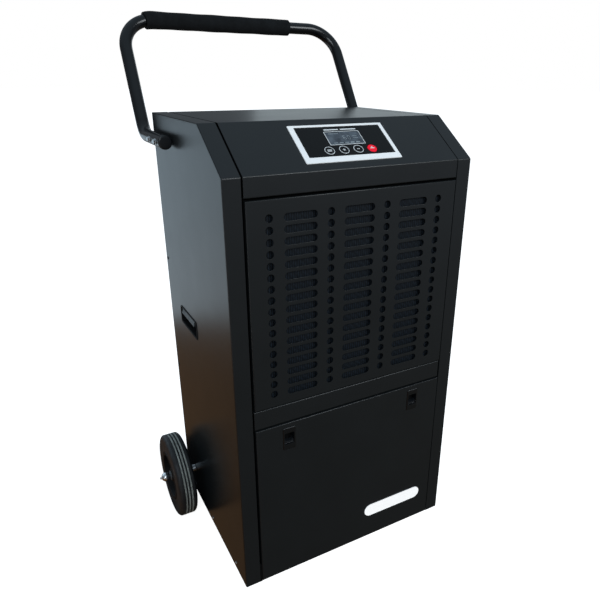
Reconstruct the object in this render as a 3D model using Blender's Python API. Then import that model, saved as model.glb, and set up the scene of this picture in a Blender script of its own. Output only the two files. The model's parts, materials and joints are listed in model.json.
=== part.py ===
"""A commercial compressor dehumidifier: a sheet-metal cabinet on two wheels and two feet, with a push handle.

Metres, +Z up, the front faces -Y. The origin is on the floor, in the middle of the whole machine.
"""

import math

import bmesh
import bpy
from mathutils import Matrix, Vector

# Cabinet
CASE_WIDTH = 0.486
CASE_DEPTH = 0.395
CASE_HEIGHT = 0.890
FLOOR_GAP = 0.022
SLOPE_DEPTH = 0.101
SLOPE_HEIGHT = 0.071
POST_WIDTH = 0.0305
SHEET = 0.0012
GAP = 0.0003  # between pieces that touch
SEAM = 0.0035  # between a post and the sheets beside it

# Push handle
TUBE_R = 0.0125
TUBE_WALL = 0.0015
TUBE_SIDES = 12
BEND_STEPS = 8
GRIP_R = 0.0178
HANDLE_X = 0.2560
HANDLE_END = 0.2595  # from the cabinet's front to the tube's open end
HANDLE_KNEE = 0.4165
HANDLE_BAR = 0.5425
LOWER_BEND = 0.045
UPPER_BEND = 0.068
HANDLE_UP = 0.846  # the lower legs' height above the cabinet's base
# The bent bar is slightly askew: each corner's x, and its height above the cabinet's base
BAR_CORNERS = ((-0.2545, 1.0665), (0.2475, 1.0620))
GRIP_START, GRIP_END = -0.2095, 0.1305
BOLT_FRONT, BOLT_REAR = 0.2790, 0.3260  # from the cabinet's front
BOLT_R, BOLT_HOLE_R = 0.004, 0.0045

# Latches
LATCH_W = 0.026
LATCH_H = 0.048
LATCH_PROUD = 0.0015
LATCH_X = 0.143
LATCH_UP = 0.3285  # the latch's middle above the cabinet's base
LATCH_SIDES = 0.0097  # half the slide's width

# The cabinet's planes
FRONT = -(HANDLE_BAR + GRIP_R - LATCH_PROUD) / 2
BACK = FRONT + CASE_DEPTH
SIDE = CASE_WIDTH / 2
BOTTOM = FLOOR_GAP
TOP = BOTTOM + CASE_HEIGHT
SLOPE_Z = TOP - SLOPE_HEIGHT
JAMB = SIDE - POST_WIDTH
JAMB_DEPTH = 0.013
FOLD = 0.014  # depth of a folded panel's edge

# Front, from the floor up
DOOR_LOW, DOOR_HIGH = BOTTOM + 0.0025, BOTTOM + 0.362
RAIL_LOW, RAIL_HIGH = BOTTOM + 0.3645, BOTTOM + 0.4035
GRILLE_LOW, GRILLE_HIGH = BOTTOM + 0.4045, BOTTOM + 0.7815
COVER_LOW = BOTTOM + 0.7865
PANEL_X = 0.2090
PANEL_SHIFT = 0.0018  # the door and the grille sit this far to the right in their opening
FIRST_ROW = BOTTOM + 0.431
ROW_PITCH = 0.020
ROWS = 17
COLUMN_PITCH = 0.0567
SLOT_LENGTH, SLOT_HEIGHT, SLOT_DROP = 0.0615, 0.0132, 0.0008
HOLE_R = 0.0069

# Back
OUTLET_ROWS, OUTLET_PITCH = 14, 0.022
OUTLET_X, OUTLET_LENGTH, OUTLET_HEIGHT = 0.079, 0.134, 0.011
FITTING_X, FITTING_UP, FITTING_HOLE_R = 0.150, 0.110, 0.0105  # the cord gland and the drain spigot

# Door hinge and its rod
HINGE_Y, HINGE_Z = FRONT + 0.006, BOTTOM + 0.012
ROD_R, ROD_HOLE_R = 0.003, 0.0036

# Display on the slope, in a frame whose Y runs up the slope and whose Z is its normal
SLOPE_ANGLE = math.atan2(SLOPE_HEIGHT, SLOPE_DEPTH)
DISPLAY_UP = 0.0613  # from the slope's lower edge to the display's centre
BEZEL_X, BEZEL_Y = 0.094, 0.04525
OVERLAY_LEFT, OVERLAY_RIGHT, OVERLAY_LOW, OVERLAY_HIGH = -0.0837, 0.0868, -0.0327, 0.0403
LCD_X, LCD_Y, LCD_W, LCD_H = 0.003, 0.0108, 0.067, 0.0305
BUTTON_Y, BUTTON_R, BUTTON_PITCH = -0.0187, 0.0095, 0.0283
BUTTON_FIRST_X = -0.0400

# Wheels, feet and axles
WHEEL_R = 0.0965
WHEEL_OUT, WHEEL_IN, HUB_OUT = 0.307, 0.266, 0.302
WHEEL_Y = FRONT + 0.3225
RIM_R = 0.0565
AXLE_R, HUB_BORE_R = 0.006, 0.0066
AXLE_TIP = 0.329
AXLE_HOLE_R = 0.0068

# Carry handles in the sides
CUP_Y, CUP_Z = FRONT + 0.256, BOTTOM + 0.488
CUP_L, CUP_H, CUP_DEPTH = 0.111, 0.040, 0.032
CUP_WALL = 0.002
CUP_LIP_H = 0.0145

# Inside
PAN_BASE = BOTTOM + 0.0015
PAN_WALL = 0.0015
PAN_HEIGHT = 0.030
PAN_X, PAN_FRONT, PAN_BACK = SIDE - SHEET - 0.0005, FRONT + 0.0200, BACK - 0.0035
DECK_Z = BOTTOM + 0.377
TRAY_WALL = 0.0015
FAN_Z = BOTTOM + 0.590
FAN_Y = FRONT + 0.180
FAN_R = 0.145
SHROUD_R = 0.153
SHROUD_Y = FRONT + 0.150
SHELF_X, SHELF_BACK, SHELF_TOP = 0.180, FRONT + 0.225, BOTTOM + 0.0665
BUCKET_X, BUCKET_WALL = 0.165, 0.0025
BUCKET_FRONT, BUCKET_BACK = FRONT + 0.030, FRONT + 0.215
BUCKET_LOW, BUCKET_HIGH = SHELF_TOP + 0.0005, BOTTOM + 0.278
BAIL_Y, BAIL_Z, BAIL_LENGTH, BAIL_R = (BUCKET_FRONT + BUCKET_BACK) / 2, BUCKET_HIGH + 0.006, 0.070, 0.0025
FLOAT_Y = BUCKET_BACK - 0.045


# ---------------------------------------------------------------- tools

def clear_scene():
    for old in list(bpy.data.objects):
        bpy.data.objects.remove(old, do_unlink=True)


def material(name, colour, roughness, metallic=0.0):
    made = bpy.data.materials.new(name)
    made.use_nodes = True
    shader = made.node_tree.nodes["Principled BSDF"]
    shader.inputs["Base Color"].default_value = (*colour, 1.0)
    shader.inputs["Roughness"].default_value = roughness
    shader.inputs["Metallic"].default_value = metallic
    return made


def add_object(name, shape, finish, origin=(0, 0, 0), parent=None, smooth=False):
    """Makes an object from a bmesh given in its parent's frame, with its origin at that point."""
    bmesh.ops.translate(shape, verts=shape.verts, vec=-Vector(origin))
    mesh = bpy.data.meshes.new(name)
    shape.to_mesh(mesh)
    shape.free()
    if smooth:
        mesh.shade_smooth()
        mesh.set_sharp_from_angle(angle=math.radians(35))
    made = bpy.data.objects.new(name, mesh)
    made.location = origin
    made.parent = parent
    if finish:
        mesh.materials.append(finish)
    bpy.context.scene.collection.objects.link(made)
    return made


def add_empty(name, location, rotation=(0, 0, 0)):
    made = bpy.data.objects.new(name, None)
    made.location = location
    made.rotation_euler = rotation
    bpy.context.scene.collection.objects.link(made)
    return made


def helper(target, shape, operation):
    """Applies a shape, given in the target's parent frame, to the target with a Boolean modifier."""
    number = len(target.modifiers)
    tool = add_object(f"{target.name}_helper_{number}", shape, None, parent=target.parent)
    tool.hide_render = True
    tool.display_type = "WIRE"
    change = target.modifiers.new(f"{operation.lower()}_{number}", "BOOLEAN")
    change.operation = operation
    change.solver = "EXACT"
    change.object = tool


def cut(target, shape):
    helper(target, shape, "DIFFERENCE")


def join(target, shape):
    helper(target, shape, "UNION")


def along(axis, flat, height):
    """A point from its place across an axis and its height along that axis."""
    first, second = flat
    return {"X": (height, first, second), "Y": (first, height, second), "Z": (first, second, height)}[axis]


def prism(shape, outline, axis, low, high):
    """Adds a closed outline, extruded along an axis from low to high."""
    ends = [[shape.verts.new(along(axis, point, height)) for point in outline] for height in (low, high)]
    faces = [shape.faces.new(ends[0]), shape.faces.new(ends[1])]
    count = len(outline)
    for i in range(count):
        j = (i + 1) % count
        faces.append(shape.faces.new((ends[0][i], ends[0][j], ends[1][j], ends[1][i])))
    bmesh.ops.recalc_face_normals(shape, faces=faces)
    return shape


def prism_shape(outline, axis, low, high):
    return prism(bmesh.new(), outline, axis, low, high)


def block(low, high):
    """A box between two corners."""
    corners = [(low[0], low[1]), (high[0], low[1]), (high[0], high[1]), (low[0], high[1])]
    return prism_shape(corners, "Z", low[2], high[2])


def dish(low, high, wall, open_side, floor=None):
    """A thin-walled box, open on one side such as +Z, with its walls inside the given corners."""
    axis, up = "XYZ".index(open_side[1]), open_side[0] == "+"
    floor = wall if floor is None else floor
    inner_low = [value + wall for value in low]
    inner_high = [value - wall for value in high]
    reach = 0.01
    inner_low[axis] = low[axis] + floor if up else low[axis] - reach
    inner_high[axis] = high[axis] + reach if up else high[axis] - floor
    return block(low, high), block(inner_low, inner_high)


def circle(centre, radius, count, turn=0.0):
    """Points round a circle."""
    angles = [turn + 2 * math.pi * i / count for i in range(count)]
    return [(centre[0] + radius * math.cos(a), centre[1] + radius * math.sin(a)) for a in angles]


def slot(centre, length, height, steps=3):
    """A horizontal slot with round ends, each drawn with a few straight steps."""
    radius = height / 2
    reach = length / 2 - radius
    points = []
    for side, start in ((1, -math.pi / 2), (-1, math.pi / 2)):
        for i in range(steps + 1):
            angle = start + math.pi * i / steps
            across = side * reach + radius * math.cos(angle)
            points.append((centre[0] + across, centre[1] + radius * math.sin(angle)))
    return points


def offset(points, distance, closed):
    """A path or outline moved sideways to its left by a distance, with mitred corners."""
    count = len(points)
    moved = []
    for i, point in enumerate(points):
        here = Vector(point)
        before = Vector(points[i - 1]) if closed or i > 0 else None
        after = Vector(points[(i + 1) % count]) if closed or i < count - 1 else None
        normals = []
        for start, end in ((before, here), (here, after)):
            if start is not None and end is not None:
                step = (end - start).normalized()
                normals.append(Vector((-step.y, step.x)))
        bisector = sum(normals, Vector((0, 0))).normalized()
        moved.append(tuple(here + bisector * (distance / bisector.dot(normals[0]))))
    return moved


def folded_sheet(path, thickness, low, high):
    """A sheet bent along a path of (y, z) points and extruded along X."""
    return prism_shape(path + offset(path, thickness, False)[::-1], "X", low, high)


def turned(profile, centre, axis="X", steps=24, direction=1):
    """A solid of revolution from (radius, height) points, where a radius of 0 closes it on the axis."""
    shape = bmesh.new()
    rings = []
    across = {"X": (1, 2), "Y": (0, 2), "Z": (0, 1)}[axis]
    base = (centre[across[0]], centre[across[1]])
    start = centre["XYZ".index(axis)]
    for radius, height in profile:
        level = start + direction * height
        if radius == 0:
            rings.append([shape.verts.new(along(axis, base, level))])
        else:
            rings.append([shape.verts.new(along(axis, p, level)) for p in circle(base, radius, steps)])
    closed = profile[0][0] > 0 and profile[-1][0] > 0
    pairs = list(zip(rings, rings[1:])) + ([(rings[-1], rings[0])] if closed else [])
    for lower, upper in pairs:
        for i in range(steps):
            j = (i + 1) % steps
            below = [lower[i % len(lower)], lower[j % len(lower)]]
            above = [upper[j % len(upper)], upper[i % len(upper)]]
            shape.faces.new(list(dict.fromkeys(below + above)))
    bmesh.ops.recalc_face_normals(shape, faces=shape.faces)
    return shape


def arc_corner(before, corner, after, radius, steps):
    """Points of a round bend that replaces the corner of a path."""
    before, corner, after = Vector(before), Vector(corner), Vector(after)
    inward, outward = (before - corner).normalized(), (after - corner).normalized()
    half = inward.angle(outward) / 2
    centre = corner + (inward + outward).normalized() * (radius / math.sin(half))
    start = corner + inward * (radius / math.tan(half)) - centre
    end = corner + outward * (radius / math.tan(half)) - centre
    return [centre + radius * start.slerp(end, i / steps).normalized() for i in range(steps + 1)]


def rounded_path(points, radii, steps):
    """A path whose inner corners are round bends of the given radii."""
    path = [Vector(points[0])]
    for before, corner, after, radius in zip(points, points[1:], points[2:], radii):
        path += arc_corner(before, corner, after, radius, steps)
    return path + [Vector(points[-1])]


def ring_points(shape, centre, forward, up, radius, sides):
    """A ring of vertices round a path's direction, with its first vertex towards the given up vector."""
    across = forward.cross(up).normalized()
    level = across.cross(forward)
    turns = [2 * math.pi * (i + 0.5) / sides for i in range(sides)]
    return [shape.verts.new(centre + radius * (math.cos(a) * level + math.sin(a) * across)) for a in turns]


def skin(shape, rings):
    """Faces between neighbouring rings."""
    for lower, upper in zip(rings, rings[1:]):
        count = len(lower)
        for i in range(count):
            j = (i + 1) % count
            shape.faces.new((lower[i], lower[j], upper[j], upper[i]))


def swept(path, radius, wall=0.0, sides=8):
    """A round bar or, with a wall, an open pipe along a path."""
    path = [Vector(point) for point in path]
    shape = bmesh.new()
    steps = [(after - before).normalized() for before, after in zip(path, path[1:])]
    directions = [steps[0], *[(a + b).normalized() for a, b in zip(steps, steps[1:])], steps[-1]]
    up = steps[0].orthogonal().normalized()
    outer, inner = [], []
    for point, forward in zip(path, directions):
        up = (up - forward * up.dot(forward)).normalized()
        outer.append(ring_points(shape, point, forward, up, radius, sides))
        if wall:
            inner.append(ring_points(shape, point, forward, up, radius - wall, sides))
    skin(shape, outer)
    if wall:
        skin(shape, inner)
        skin(shape, [outer[0], inner[0]])
        skin(shape, [outer[-1], inner[-1]])
    else:
        shape.faces.new(outer[0])
        shape.faces.new(outer[-1])
    bmesh.ops.recalc_face_normals(shape, faces=shape.faces)
    return shape


def add_tube(name, path, radius, finish, wall=0.0, sides=8):
    return add_object(name, swept(path, radius, wall, sides), finish, smooth=True)


# ---------------------------------------------------------------- cabinet

def case_outline():
    """The cabinet's side view, anticlockwise seen from +X."""
    return [
        (FRONT, BOTTOM),
        (BACK, BOTTOM),
        (BACK, TOP),
        (FRONT + SLOPE_DEPTH, TOP),
        (FRONT, SLOPE_Z),
    ]


def add_side_panel(name, side, paint):
    """One side: the wall, with a folded edge all round that makes the post, and a return along the front."""
    def span(a, b):
        return sorted((side * a, side * b))

    panel = add_object(name, prism_shape(case_outline(), "X", *span(JAMB, SIDE)), paint)
    inner = offset(case_outline(), SHEET, True)
    cut(panel, prism_shape(inner, "X", *span(JAMB + SHEET, SIDE - SHEET)))
    rise = SLOPE_HEIGHT / SLOPE_DEPTH
    jamb_top = SLOPE_Z + JAMB_DEPTH * rise - SHEET * math.hypot(1, rise) - GAP
    mouth = [(FRONT + JAMB_DEPTH, inner[0][1]), inner[1], inner[2], inner[3], (FRONT + JAMB_DEPTH, jamb_top)]
    cut(panel, prism_shape(mouth, "X", *span(JAMB - 0.01, JAMB + 2 * SHEET)))
    holes = bmesh.new()
    overlap = 0.0015  # the cup's flange covers this much of the wall round its hole
    half_l, half_h = CUP_L / 2 - overlap, CUP_H / 2 - overlap
    window = [(CUP_Y + a * half_l, CUP_Z + b * half_h) for a, b in ((-1, -1), (1, -1), (1, 1), (-1, 1))]
    prism(holes, window, "X", *span(SIDE - 0.01, SIDE + 0.01))
    prism(holes, circle((WHEEL_Y, WHEEL_R), AXLE_HOLE_R, 12), "X", *span(SIDE - 0.01, SIDE + 0.01))
    for bolt_y in bolt_places():
        prism(holes, circle((bolt_y, handle_z()), BOLT_HOLE_R, 8), "X", *span(SIDE - 0.01, SIDE + 0.01))
    prism(holes, circle((HINGE_Y, HINGE_Z), ROD_HOLE_R, 8), "X", *span(JAMB - 0.01, JAMB + 0.01))
    cut(panel, holes)


def add_top_cover(paint, slope_frame):
    """The top, the slope and the strip under it, bent from one sheet, with the display's window."""
    path = [
        (BACK, TOP - 0.015),
        (BACK, TOP),
        (FRONT + SLOPE_DEPTH, TOP),
        (FRONT, SLOPE_Z),
        (FRONT, COVER_LOW),
        (FRONT + 0.012, COVER_LOW),
    ]
    reach = JAMB - SEAM
    cover = add_object("top_cover", folded_sheet(path, SHEET, -reach, reach), paint)
    window = bmesh.new()
    room = 0.0008
    left, right = OVERLAY_LEFT - room, OVERLAY_RIGHT + room
    low, high = OVERLAY_LOW - room, OVERLAY_HIGH + room
    prism(window, [(left, low), (right, low), (right, high), (left, high)], "Z", -0.02, 0.02)
    window.transform(slope_frame.matrix_basis)
    cut(cover, window)


def add_rear_panel(paint):
    """The back, behind the side panels' edges, with two columns of air outlet slots."""
    low, high = (-SIDE + 0.005, BACK - 0.003, BOTTOM + 0.002), (SIDE - 0.005, BACK - 0.0018, TOP - 0.003)
    panel = add_object("rear_panel", block(low, high), paint)
    holes = bmesh.new()
    for row in range(OUTLET_ROWS):
        z = FAN_Z + OUTLET_PITCH * (row - OUTLET_ROWS / 2 + 0.5)
        for x in (-OUTLET_X, OUTLET_X):
            prism(holes, slot((x, z), OUTLET_LENGTH, OUTLET_HEIGHT), "Y", BACK - 0.02, BACK + 0.02)
    for x in (-FITTING_X, FITTING_X):
        place = (x, BOTTOM + FITTING_UP)
        prism(holes, circle(place, FITTING_HOLE_R, 12), "Y", BACK - 0.02, BACK + 0.02)
    cut(panel, holes)


def add_folded_panel(name, low, high, paint, origin=(0, 0, 0)):
    """A front panel: a sheet with its four edges folded back."""
    left, right = PANEL_SHIFT - PANEL_X, PANEL_SHIFT + PANEL_X
    body, inside = dish((left, FRONT, low), (right, FRONT + FOLD, high), SHEET, "+Y")
    panel = add_object(name, body, paint, origin)
    cut(panel, inside)
    return panel


def add_front_grille(paint):
    """The intake panel: three columns of slots between four columns of round holes."""
    panel = add_folded_panel("front_grille", GRILLE_LOW, GRILLE_HIGH, paint, (0, FRONT, GRILLE_LOW))
    holes = bmesh.new()
    for row in range(ROWS):
        z = FIRST_ROW + ROW_PITCH * row
        for column in range(-3, 4):
            x = PANEL_SHIFT + column * COLUMN_PITCH
            if column % 2 == 0:
                outline = slot((x, z - SLOT_DROP), SLOT_LENGTH, SLOT_HEIGHT)
            else:
                outline = circle((x, z), HOLE_R, 6)
            prism(holes, outline, "Y", FRONT - 0.005, FRONT + 0.005)
    cut(panel, holes)


def add_filter(plastic, mesh_finish):
    """The dust filter clipped inside the grille's fold: a frame and the mesh in it."""
    reach = PANEL_X - SHEET - 0.0015
    low = (PANEL_SHIFT - reach, FRONT + 0.0035, GRILLE_LOW + 0.0028)
    high = (PANEL_SHIFT + reach, FRONT + 0.0105, GRILLE_HIGH - 0.0028)
    frame = add_object("filter_frame", block(low, high), plastic)
    bar = 0.008
    opening_low = (low[0] + bar, low[1] - 0.01, low[2] + bar)
    opening_high = (high[0] - bar, high[1] + 0.01, high[2] - bar)
    cut(frame, block(opening_low, opening_high))
    edge = bar + GAP
    add_object("filter_mesh", block((low[0] + edge, low[1] + 0.003, low[2] + edge),
                                    (high[0] - edge, low[1] + 0.004, high[2] - edge)), mesh_finish)


def add_front_rail(paint):
    path = [(FRONT + FOLD, RAIL_LOW), (FRONT, RAIL_LOW), (FRONT, RAIL_HIGH), (FRONT + FOLD, RAIL_HIGH)]
    add_object("front_rail", folded_sheet(path, -SHEET, -JAMB + SEAM, JAMB - SEAM), paint)


def add_door(paint, plastic, steel):
    """The lower front door, its hinge rod and its two latches."""
    door = add_folded_panel("front_door", DOOR_LOW, DOOR_HIGH, paint, (0, HINGE_Y, HINGE_Z))
    holes = bmesh.new()
    for side in (-1, 1):
        prism(holes, circle((HINGE_Y, HINGE_Z), ROD_HOLE_R, 8), "X", *sorted((side * 0.2, side * 0.22)))
        x, half_w = PANEL_SHIFT + side * LATCH_X, LATCH_W / 2 - 0.001
        low, high = latch_z()[0] + 0.001, latch_z()[1] - 0.001
        window = [(x - half_w, low), (x + half_w, low), (x + half_w, high), (x - half_w, high)]
        prism(holes, window, "Y", FRONT - 0.01, FRONT + 0.005)
        pass_through = [(x - 0.0085, FRONT + 0.0072), (x + 0.0085, FRONT + 0.0072),
                        (x + 0.0085, FRONT + 0.0108), (x - 0.0085, FRONT + 0.0108)]
        prism(holes, pass_through, "Z", DOOR_HIGH - 0.005, DOOR_HIGH + 0.005)
    cut(door, holes)
    add_hinge_rod(steel)
    for name, side in (("left", -1), ("right", 1)):
        add_latch(name, PANEL_SHIFT + side * LATCH_X, plastic)


def add_hinge_rod(steel):
    reach = 0.0015  # past the jamb at each end
    length = 2 * (JAMB + reach)
    profile = [(0, 0), (ROD_R, 0), (ROD_R, length), (0, length)]
    start = (-JAMB - reach, HINGE_Y, HINGE_Z)
    add_object("door_hinge_rod", turned(profile, start, "X", 8), steel, smooth=True)


def latch_z():
    middle = BOTTOM + LATCH_UP
    return middle - LATCH_H / 2, middle + LATCH_H / 2


def add_latch(name, x, plastic):
    """A flush finger latch: a housing with a finger window, and a thumb slide whose tongue points up."""
    low, high = latch_z()
    half_w = LATCH_W / 2
    body = add_object(f"latch_body_{name}", block((x - half_w, FRONT - LATCH_PROUD, low),
                                                  (x + half_w, FRONT - GAP, high)), plastic)
    join(body, block((x - half_w + 0.0015, FRONT - LATCH_PROUD / 2, low + 0.0015),
                     (x + half_w - 0.0015, FRONT + 0.0125, high - 0.0015)))
    cut(body, block((x - 0.010, FRONT - 0.01, low + 0.012), (x + 0.010, FRONT + 0.0111, low + 0.036)))
    cut(body, block((x - 0.010, FRONT + 0.0015, low + 0.004), (x + 0.010, FRONT + 0.0111, low + 0.013)))
    cut(body, block((x - 0.008, FRONT + 0.0075, low + 0.035), (x + 0.008, FRONT + 0.0105, high + 0.01)))
    slide_low = low + 0.0105
    tab = []
    for i in range(6):
        across = LATCH_SIDES * (2 * i / 5 - 1)
        tab.append((x + across, slide_low + 0.0055 + 55.0 * across * across))
    outline = [(x - LATCH_SIDES, slide_low), *tab, (x + LATCH_SIDES, slide_low)]
    shape = prism_shape(outline, "Y", FRONT + 0.0018, FRONT + 0.0108)
    slide = add_object(f"latch_slide_{name}", shape, plastic, (x, FRONT + 0.006, slide_low))
    join(slide, block((x - 0.0077, FRONT + 0.0078, slide_low + 0.001),
                      (x + 0.0077, FRONT + 0.0102, RAIL_LOW - 0.0005)))


def add_carry_handle(name, side, plastic):
    """A flush cup in one side: a pocket behind a grip lip that covers its upper part."""
    out, back = SIDE + GAP, SIDE - CUP_DEPTH
    half_l, half_h = CUP_L / 2, CUP_H / 2

    def span_block(x_low, x_high, l, z_low, z_high):
        near, far = sorted((side * x_low, side * x_high))
        return block((near, CUP_Y - l, z_low), (far, CUP_Y + l, z_high))

    flange = span_block(out, out + 0.001, half_l, CUP_Z - half_h, CUP_Z + half_h)
    cup = add_object(f"carry_handle_{name}", flange, plastic)
    join(cup, span_block(back, out + 0.0005, half_l - 0.002, CUP_Z - half_h + 0.002, CUP_Z + half_h - 0.002))
    inner_l, inner_low, inner_high = half_l - 0.004, CUP_Z - half_h + 0.004, CUP_Z + half_h - 0.004
    cut(cup, span_block(back + CUP_WALL, out - 0.004, inner_l, inner_low, inner_high))
    cut(cup, span_block(out - 0.006, out + 0.01, inner_l, inner_low, CUP_Z + half_h - 0.004 - CUP_LIP_H))


# ---------------------------------------------------------------- push handle

def handle_z():
    return BOTTOM + HANDLE_UP


def bar_corners():
    return [Vector((x, FRONT + HANDLE_BAR, BOTTOM + z)) for x, z in BAR_CORNERS]


def bolt_places():
    return (FRONT + BOLT_FRONT, FRONT + BOLT_REAR)


def handle_path():
    """The tube's centre line, from its left open end up, across and down to its right open end."""
    legs = (FRONT + HANDLE_END, FRONT + HANDLE_KNEE)
    left = [Vector((-HANDLE_X, y, handle_z())) for y in legs]
    right = [Vector((HANDLE_X, y, handle_z())) for y in reversed(legs)]
    radii = (LOWER_BEND, UPPER_BEND, UPPER_BEND, LOWER_BEND)
    return rounded_path(left + bar_corners() + right, radii, BEND_STEPS)


def add_push_handle(paint, foam, plastic, steel):
    tube = add_tube("push_handle", handle_path(), TUBE_R, paint, TUBE_WALL, TUBE_SIDES)
    holes = bmesh.new()
    for side in (-1, 1):
        for y in bolt_places():
            prism(holes, circle((y, handle_z()), BOLT_HOLE_R, 8), "X", *sorted((side * 0.235, side * 0.28)))
    cut(tube, holes)
    add_grip(foam)
    rim, neck = TUBE_R + 0.0005, 0.0105
    plug = [(0, 0), (rim, 0), (rim, 0.004), (neck, 0.004), (neck, 0.016), (0, 0.016)]
    for name, side in (("left", -1), ("right", 1)):
        centre = (side * HANDLE_X, FRONT + HANDLE_END - 0.004 - GAP, handle_z())
        add_object(f"handle_cap_{name}", turned(plug, centre, "Y", TUBE_SIDES), plastic, smooth=True)
        for place, y in zip(("front", "rear"), bolt_places()):
            add_handle_bolt(f"handle_bolt_{name}_{place}", side, y, steel)


def add_handle_bolt(name, side, y, steel):
    """A dome-head bolt through the tube and the side panel, with its spacer and inner nut."""
    tube_out, tube_in = HANDLE_X + TUBE_R, HANDLE_X - TUBE_R
    nut_end = SIDE - SHEET - GAP
    profile = [
        (0, nut_end - 0.010), (BOLT_R, nut_end - 0.010), (BOLT_R, nut_end - 0.006), (0.0065, nut_end - 0.006),
        (0.0065, nut_end), (BOLT_R, nut_end), (BOLT_R, tube_in - GAP), (BOLT_R, tube_out + GAP),
        (0.008, tube_out + GAP), (0.007, tube_out + 0.003), (0.004, tube_out + 0.0045),
        (0, tube_out + 0.0048),
    ]
    add_object(name, turned(profile, (0, y, handle_z()), "X", 8, side), steel, smooth=True)


def add_grip(foam):
    """The foam sleeve, which starts part of the way round the left bend."""
    left, right = bar_corners()
    leg = Vector((-HANDLE_X, FRONT + HANDLE_KNEE, handle_z()))
    bend = arc_corner(leg, left, right, UPPER_BEND, BEND_STEPS)
    end = left.lerp(right, (GRIP_END - left.x) / (right.x - left.x))
    path = [point for point in bend if point.x > GRIP_START] + [end]
    add_tube("handle_grip", path, GRIP_R, foam, GRIP_R - TUBE_R - 0.0009, TUBE_SIDES)


# ---------------------------------------------------------------- wheels and feet

def tyre_profile():
    """Half of the tyre's cross-section as (radius, distance along the axle), with three ribs on the tread."""
    width = WHEEL_IN - WHEEL_OUT
    tread = [(WHEEL_R - 0.004, 0.10), (WHEEL_R - 0.001, 0.22), (WHEEL_R, 0.36), (WHEEL_R, 0.64),
             (WHEEL_R - 0.001, 0.78), (WHEEL_R - 0.004, 0.90)]
    flanks = [(WHEEL_R - 0.012, 1.0), (RIM_R + 0.006, 1.0), (RIM_R + GAP, 0.9)]
    profile = [(RIM_R + GAP, 0.1), (RIM_R + 0.006, 0.0), (WHEEL_R - 0.012, 0.0), *tread, *flanks]
    return [(radius, -share * width) for radius, share in profile]


def rim_profile():
    """The rim's cross-section: a hub, a dished web and the seat under the tyre."""
    width = WHEEL_OUT - WHEEL_IN
    return [
        (HUB_BORE_R, 0.0), (0.016, 0.0), (0.018, 0.34 * width), (0.047, 0.38 * width), (0.050, 0.02 * width),
        (RIM_R, 0.06 * width), (RIM_R, 0.94 * width), (0.050, 0.98 * width), (0.047, 0.62 * width),
        (0.018, 0.66 * width), (0.016, HUB_OUT - WHEEL_IN), (HUB_BORE_R, HUB_OUT - WHEEL_IN),
    ]


def add_wheel(name, side, rubber, plastic, steel):
    centre = (0, WHEEL_Y, WHEEL_R)
    tyre = [(radius, WHEEL_IN + distance) for radius, distance in tyre_profile()]
    rim = [(radius, WHEEL_IN + distance) for radius, distance in rim_profile()]
    add_object(f"wheel_tyre_{name}", turned(tyre, centre, "X", 28, side), rubber, centre, smooth=True)
    add_object(f"wheel_rim_{name}", turned(rim, centre, "X", 28, side), plastic, centre, smooth=True)
    plate = SIDE - SHEET - GAP
    axle = [(0, 0.195), (AXLE_R, 0.195), (AXLE_R, plate - 0.003), (0.022, plate - 0.003), (0.022, plate),
            (AXLE_R, plate), (AXLE_R, SIDE + GAP), (0.0085, SIDE + GAP), (0.0085, WHEEL_IN - 0.0005),
            (AXLE_R, WHEEL_IN - 0.0005), (AXLE_R, AXLE_TIP - 0.0015), (AXLE_R - 0.0015, AXLE_TIP),
            (0, AXLE_TIP)]
    add_object(f"axle_{name}", turned(axle, centre, "X", 12, side), steel, smooth=True)
    bore = AXLE_R + GAP
    start = HUB_OUT + 0.001
    nut = [(bore, start), (0.0115, start), (0.0115, start + 0.002), (0.0098, start + 0.002),
           (0.0098, start + 0.014), (0.0085, start + 0.018), (bore, start + 0.018)]
    add_object(f"axle_nut_{name}", turned(nut, centre, "X", 12, side), steel)


def add_foot(name, side, rubber):
    profile = [(0, 0), (0.015, 0), (0.018, 0.004), (0.016, PAN_BASE - GAP), (0, PAN_BASE - GAP)]
    place = (side * 0.185, FRONT + 0.055, 0)
    add_object(f"foot_{name}", turned(profile, place, "Z", 16), rubber, smooth=True)


# ---------------------------------------------------------------- display

def slope_frame():
    place = (0, FRONT + DISPLAY_UP * math.cos(SLOPE_ANGLE), SLOPE_Z + DISPLAY_UP * math.sin(SLOPE_ANGLE))
    return add_empty("display_place", place, (SLOPE_ANGLE, 0, 0))


def button_places():
    return [(BUTTON_FIRST_X + i * BUTTON_PITCH, BUTTON_Y) for i in range(4)]


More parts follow.
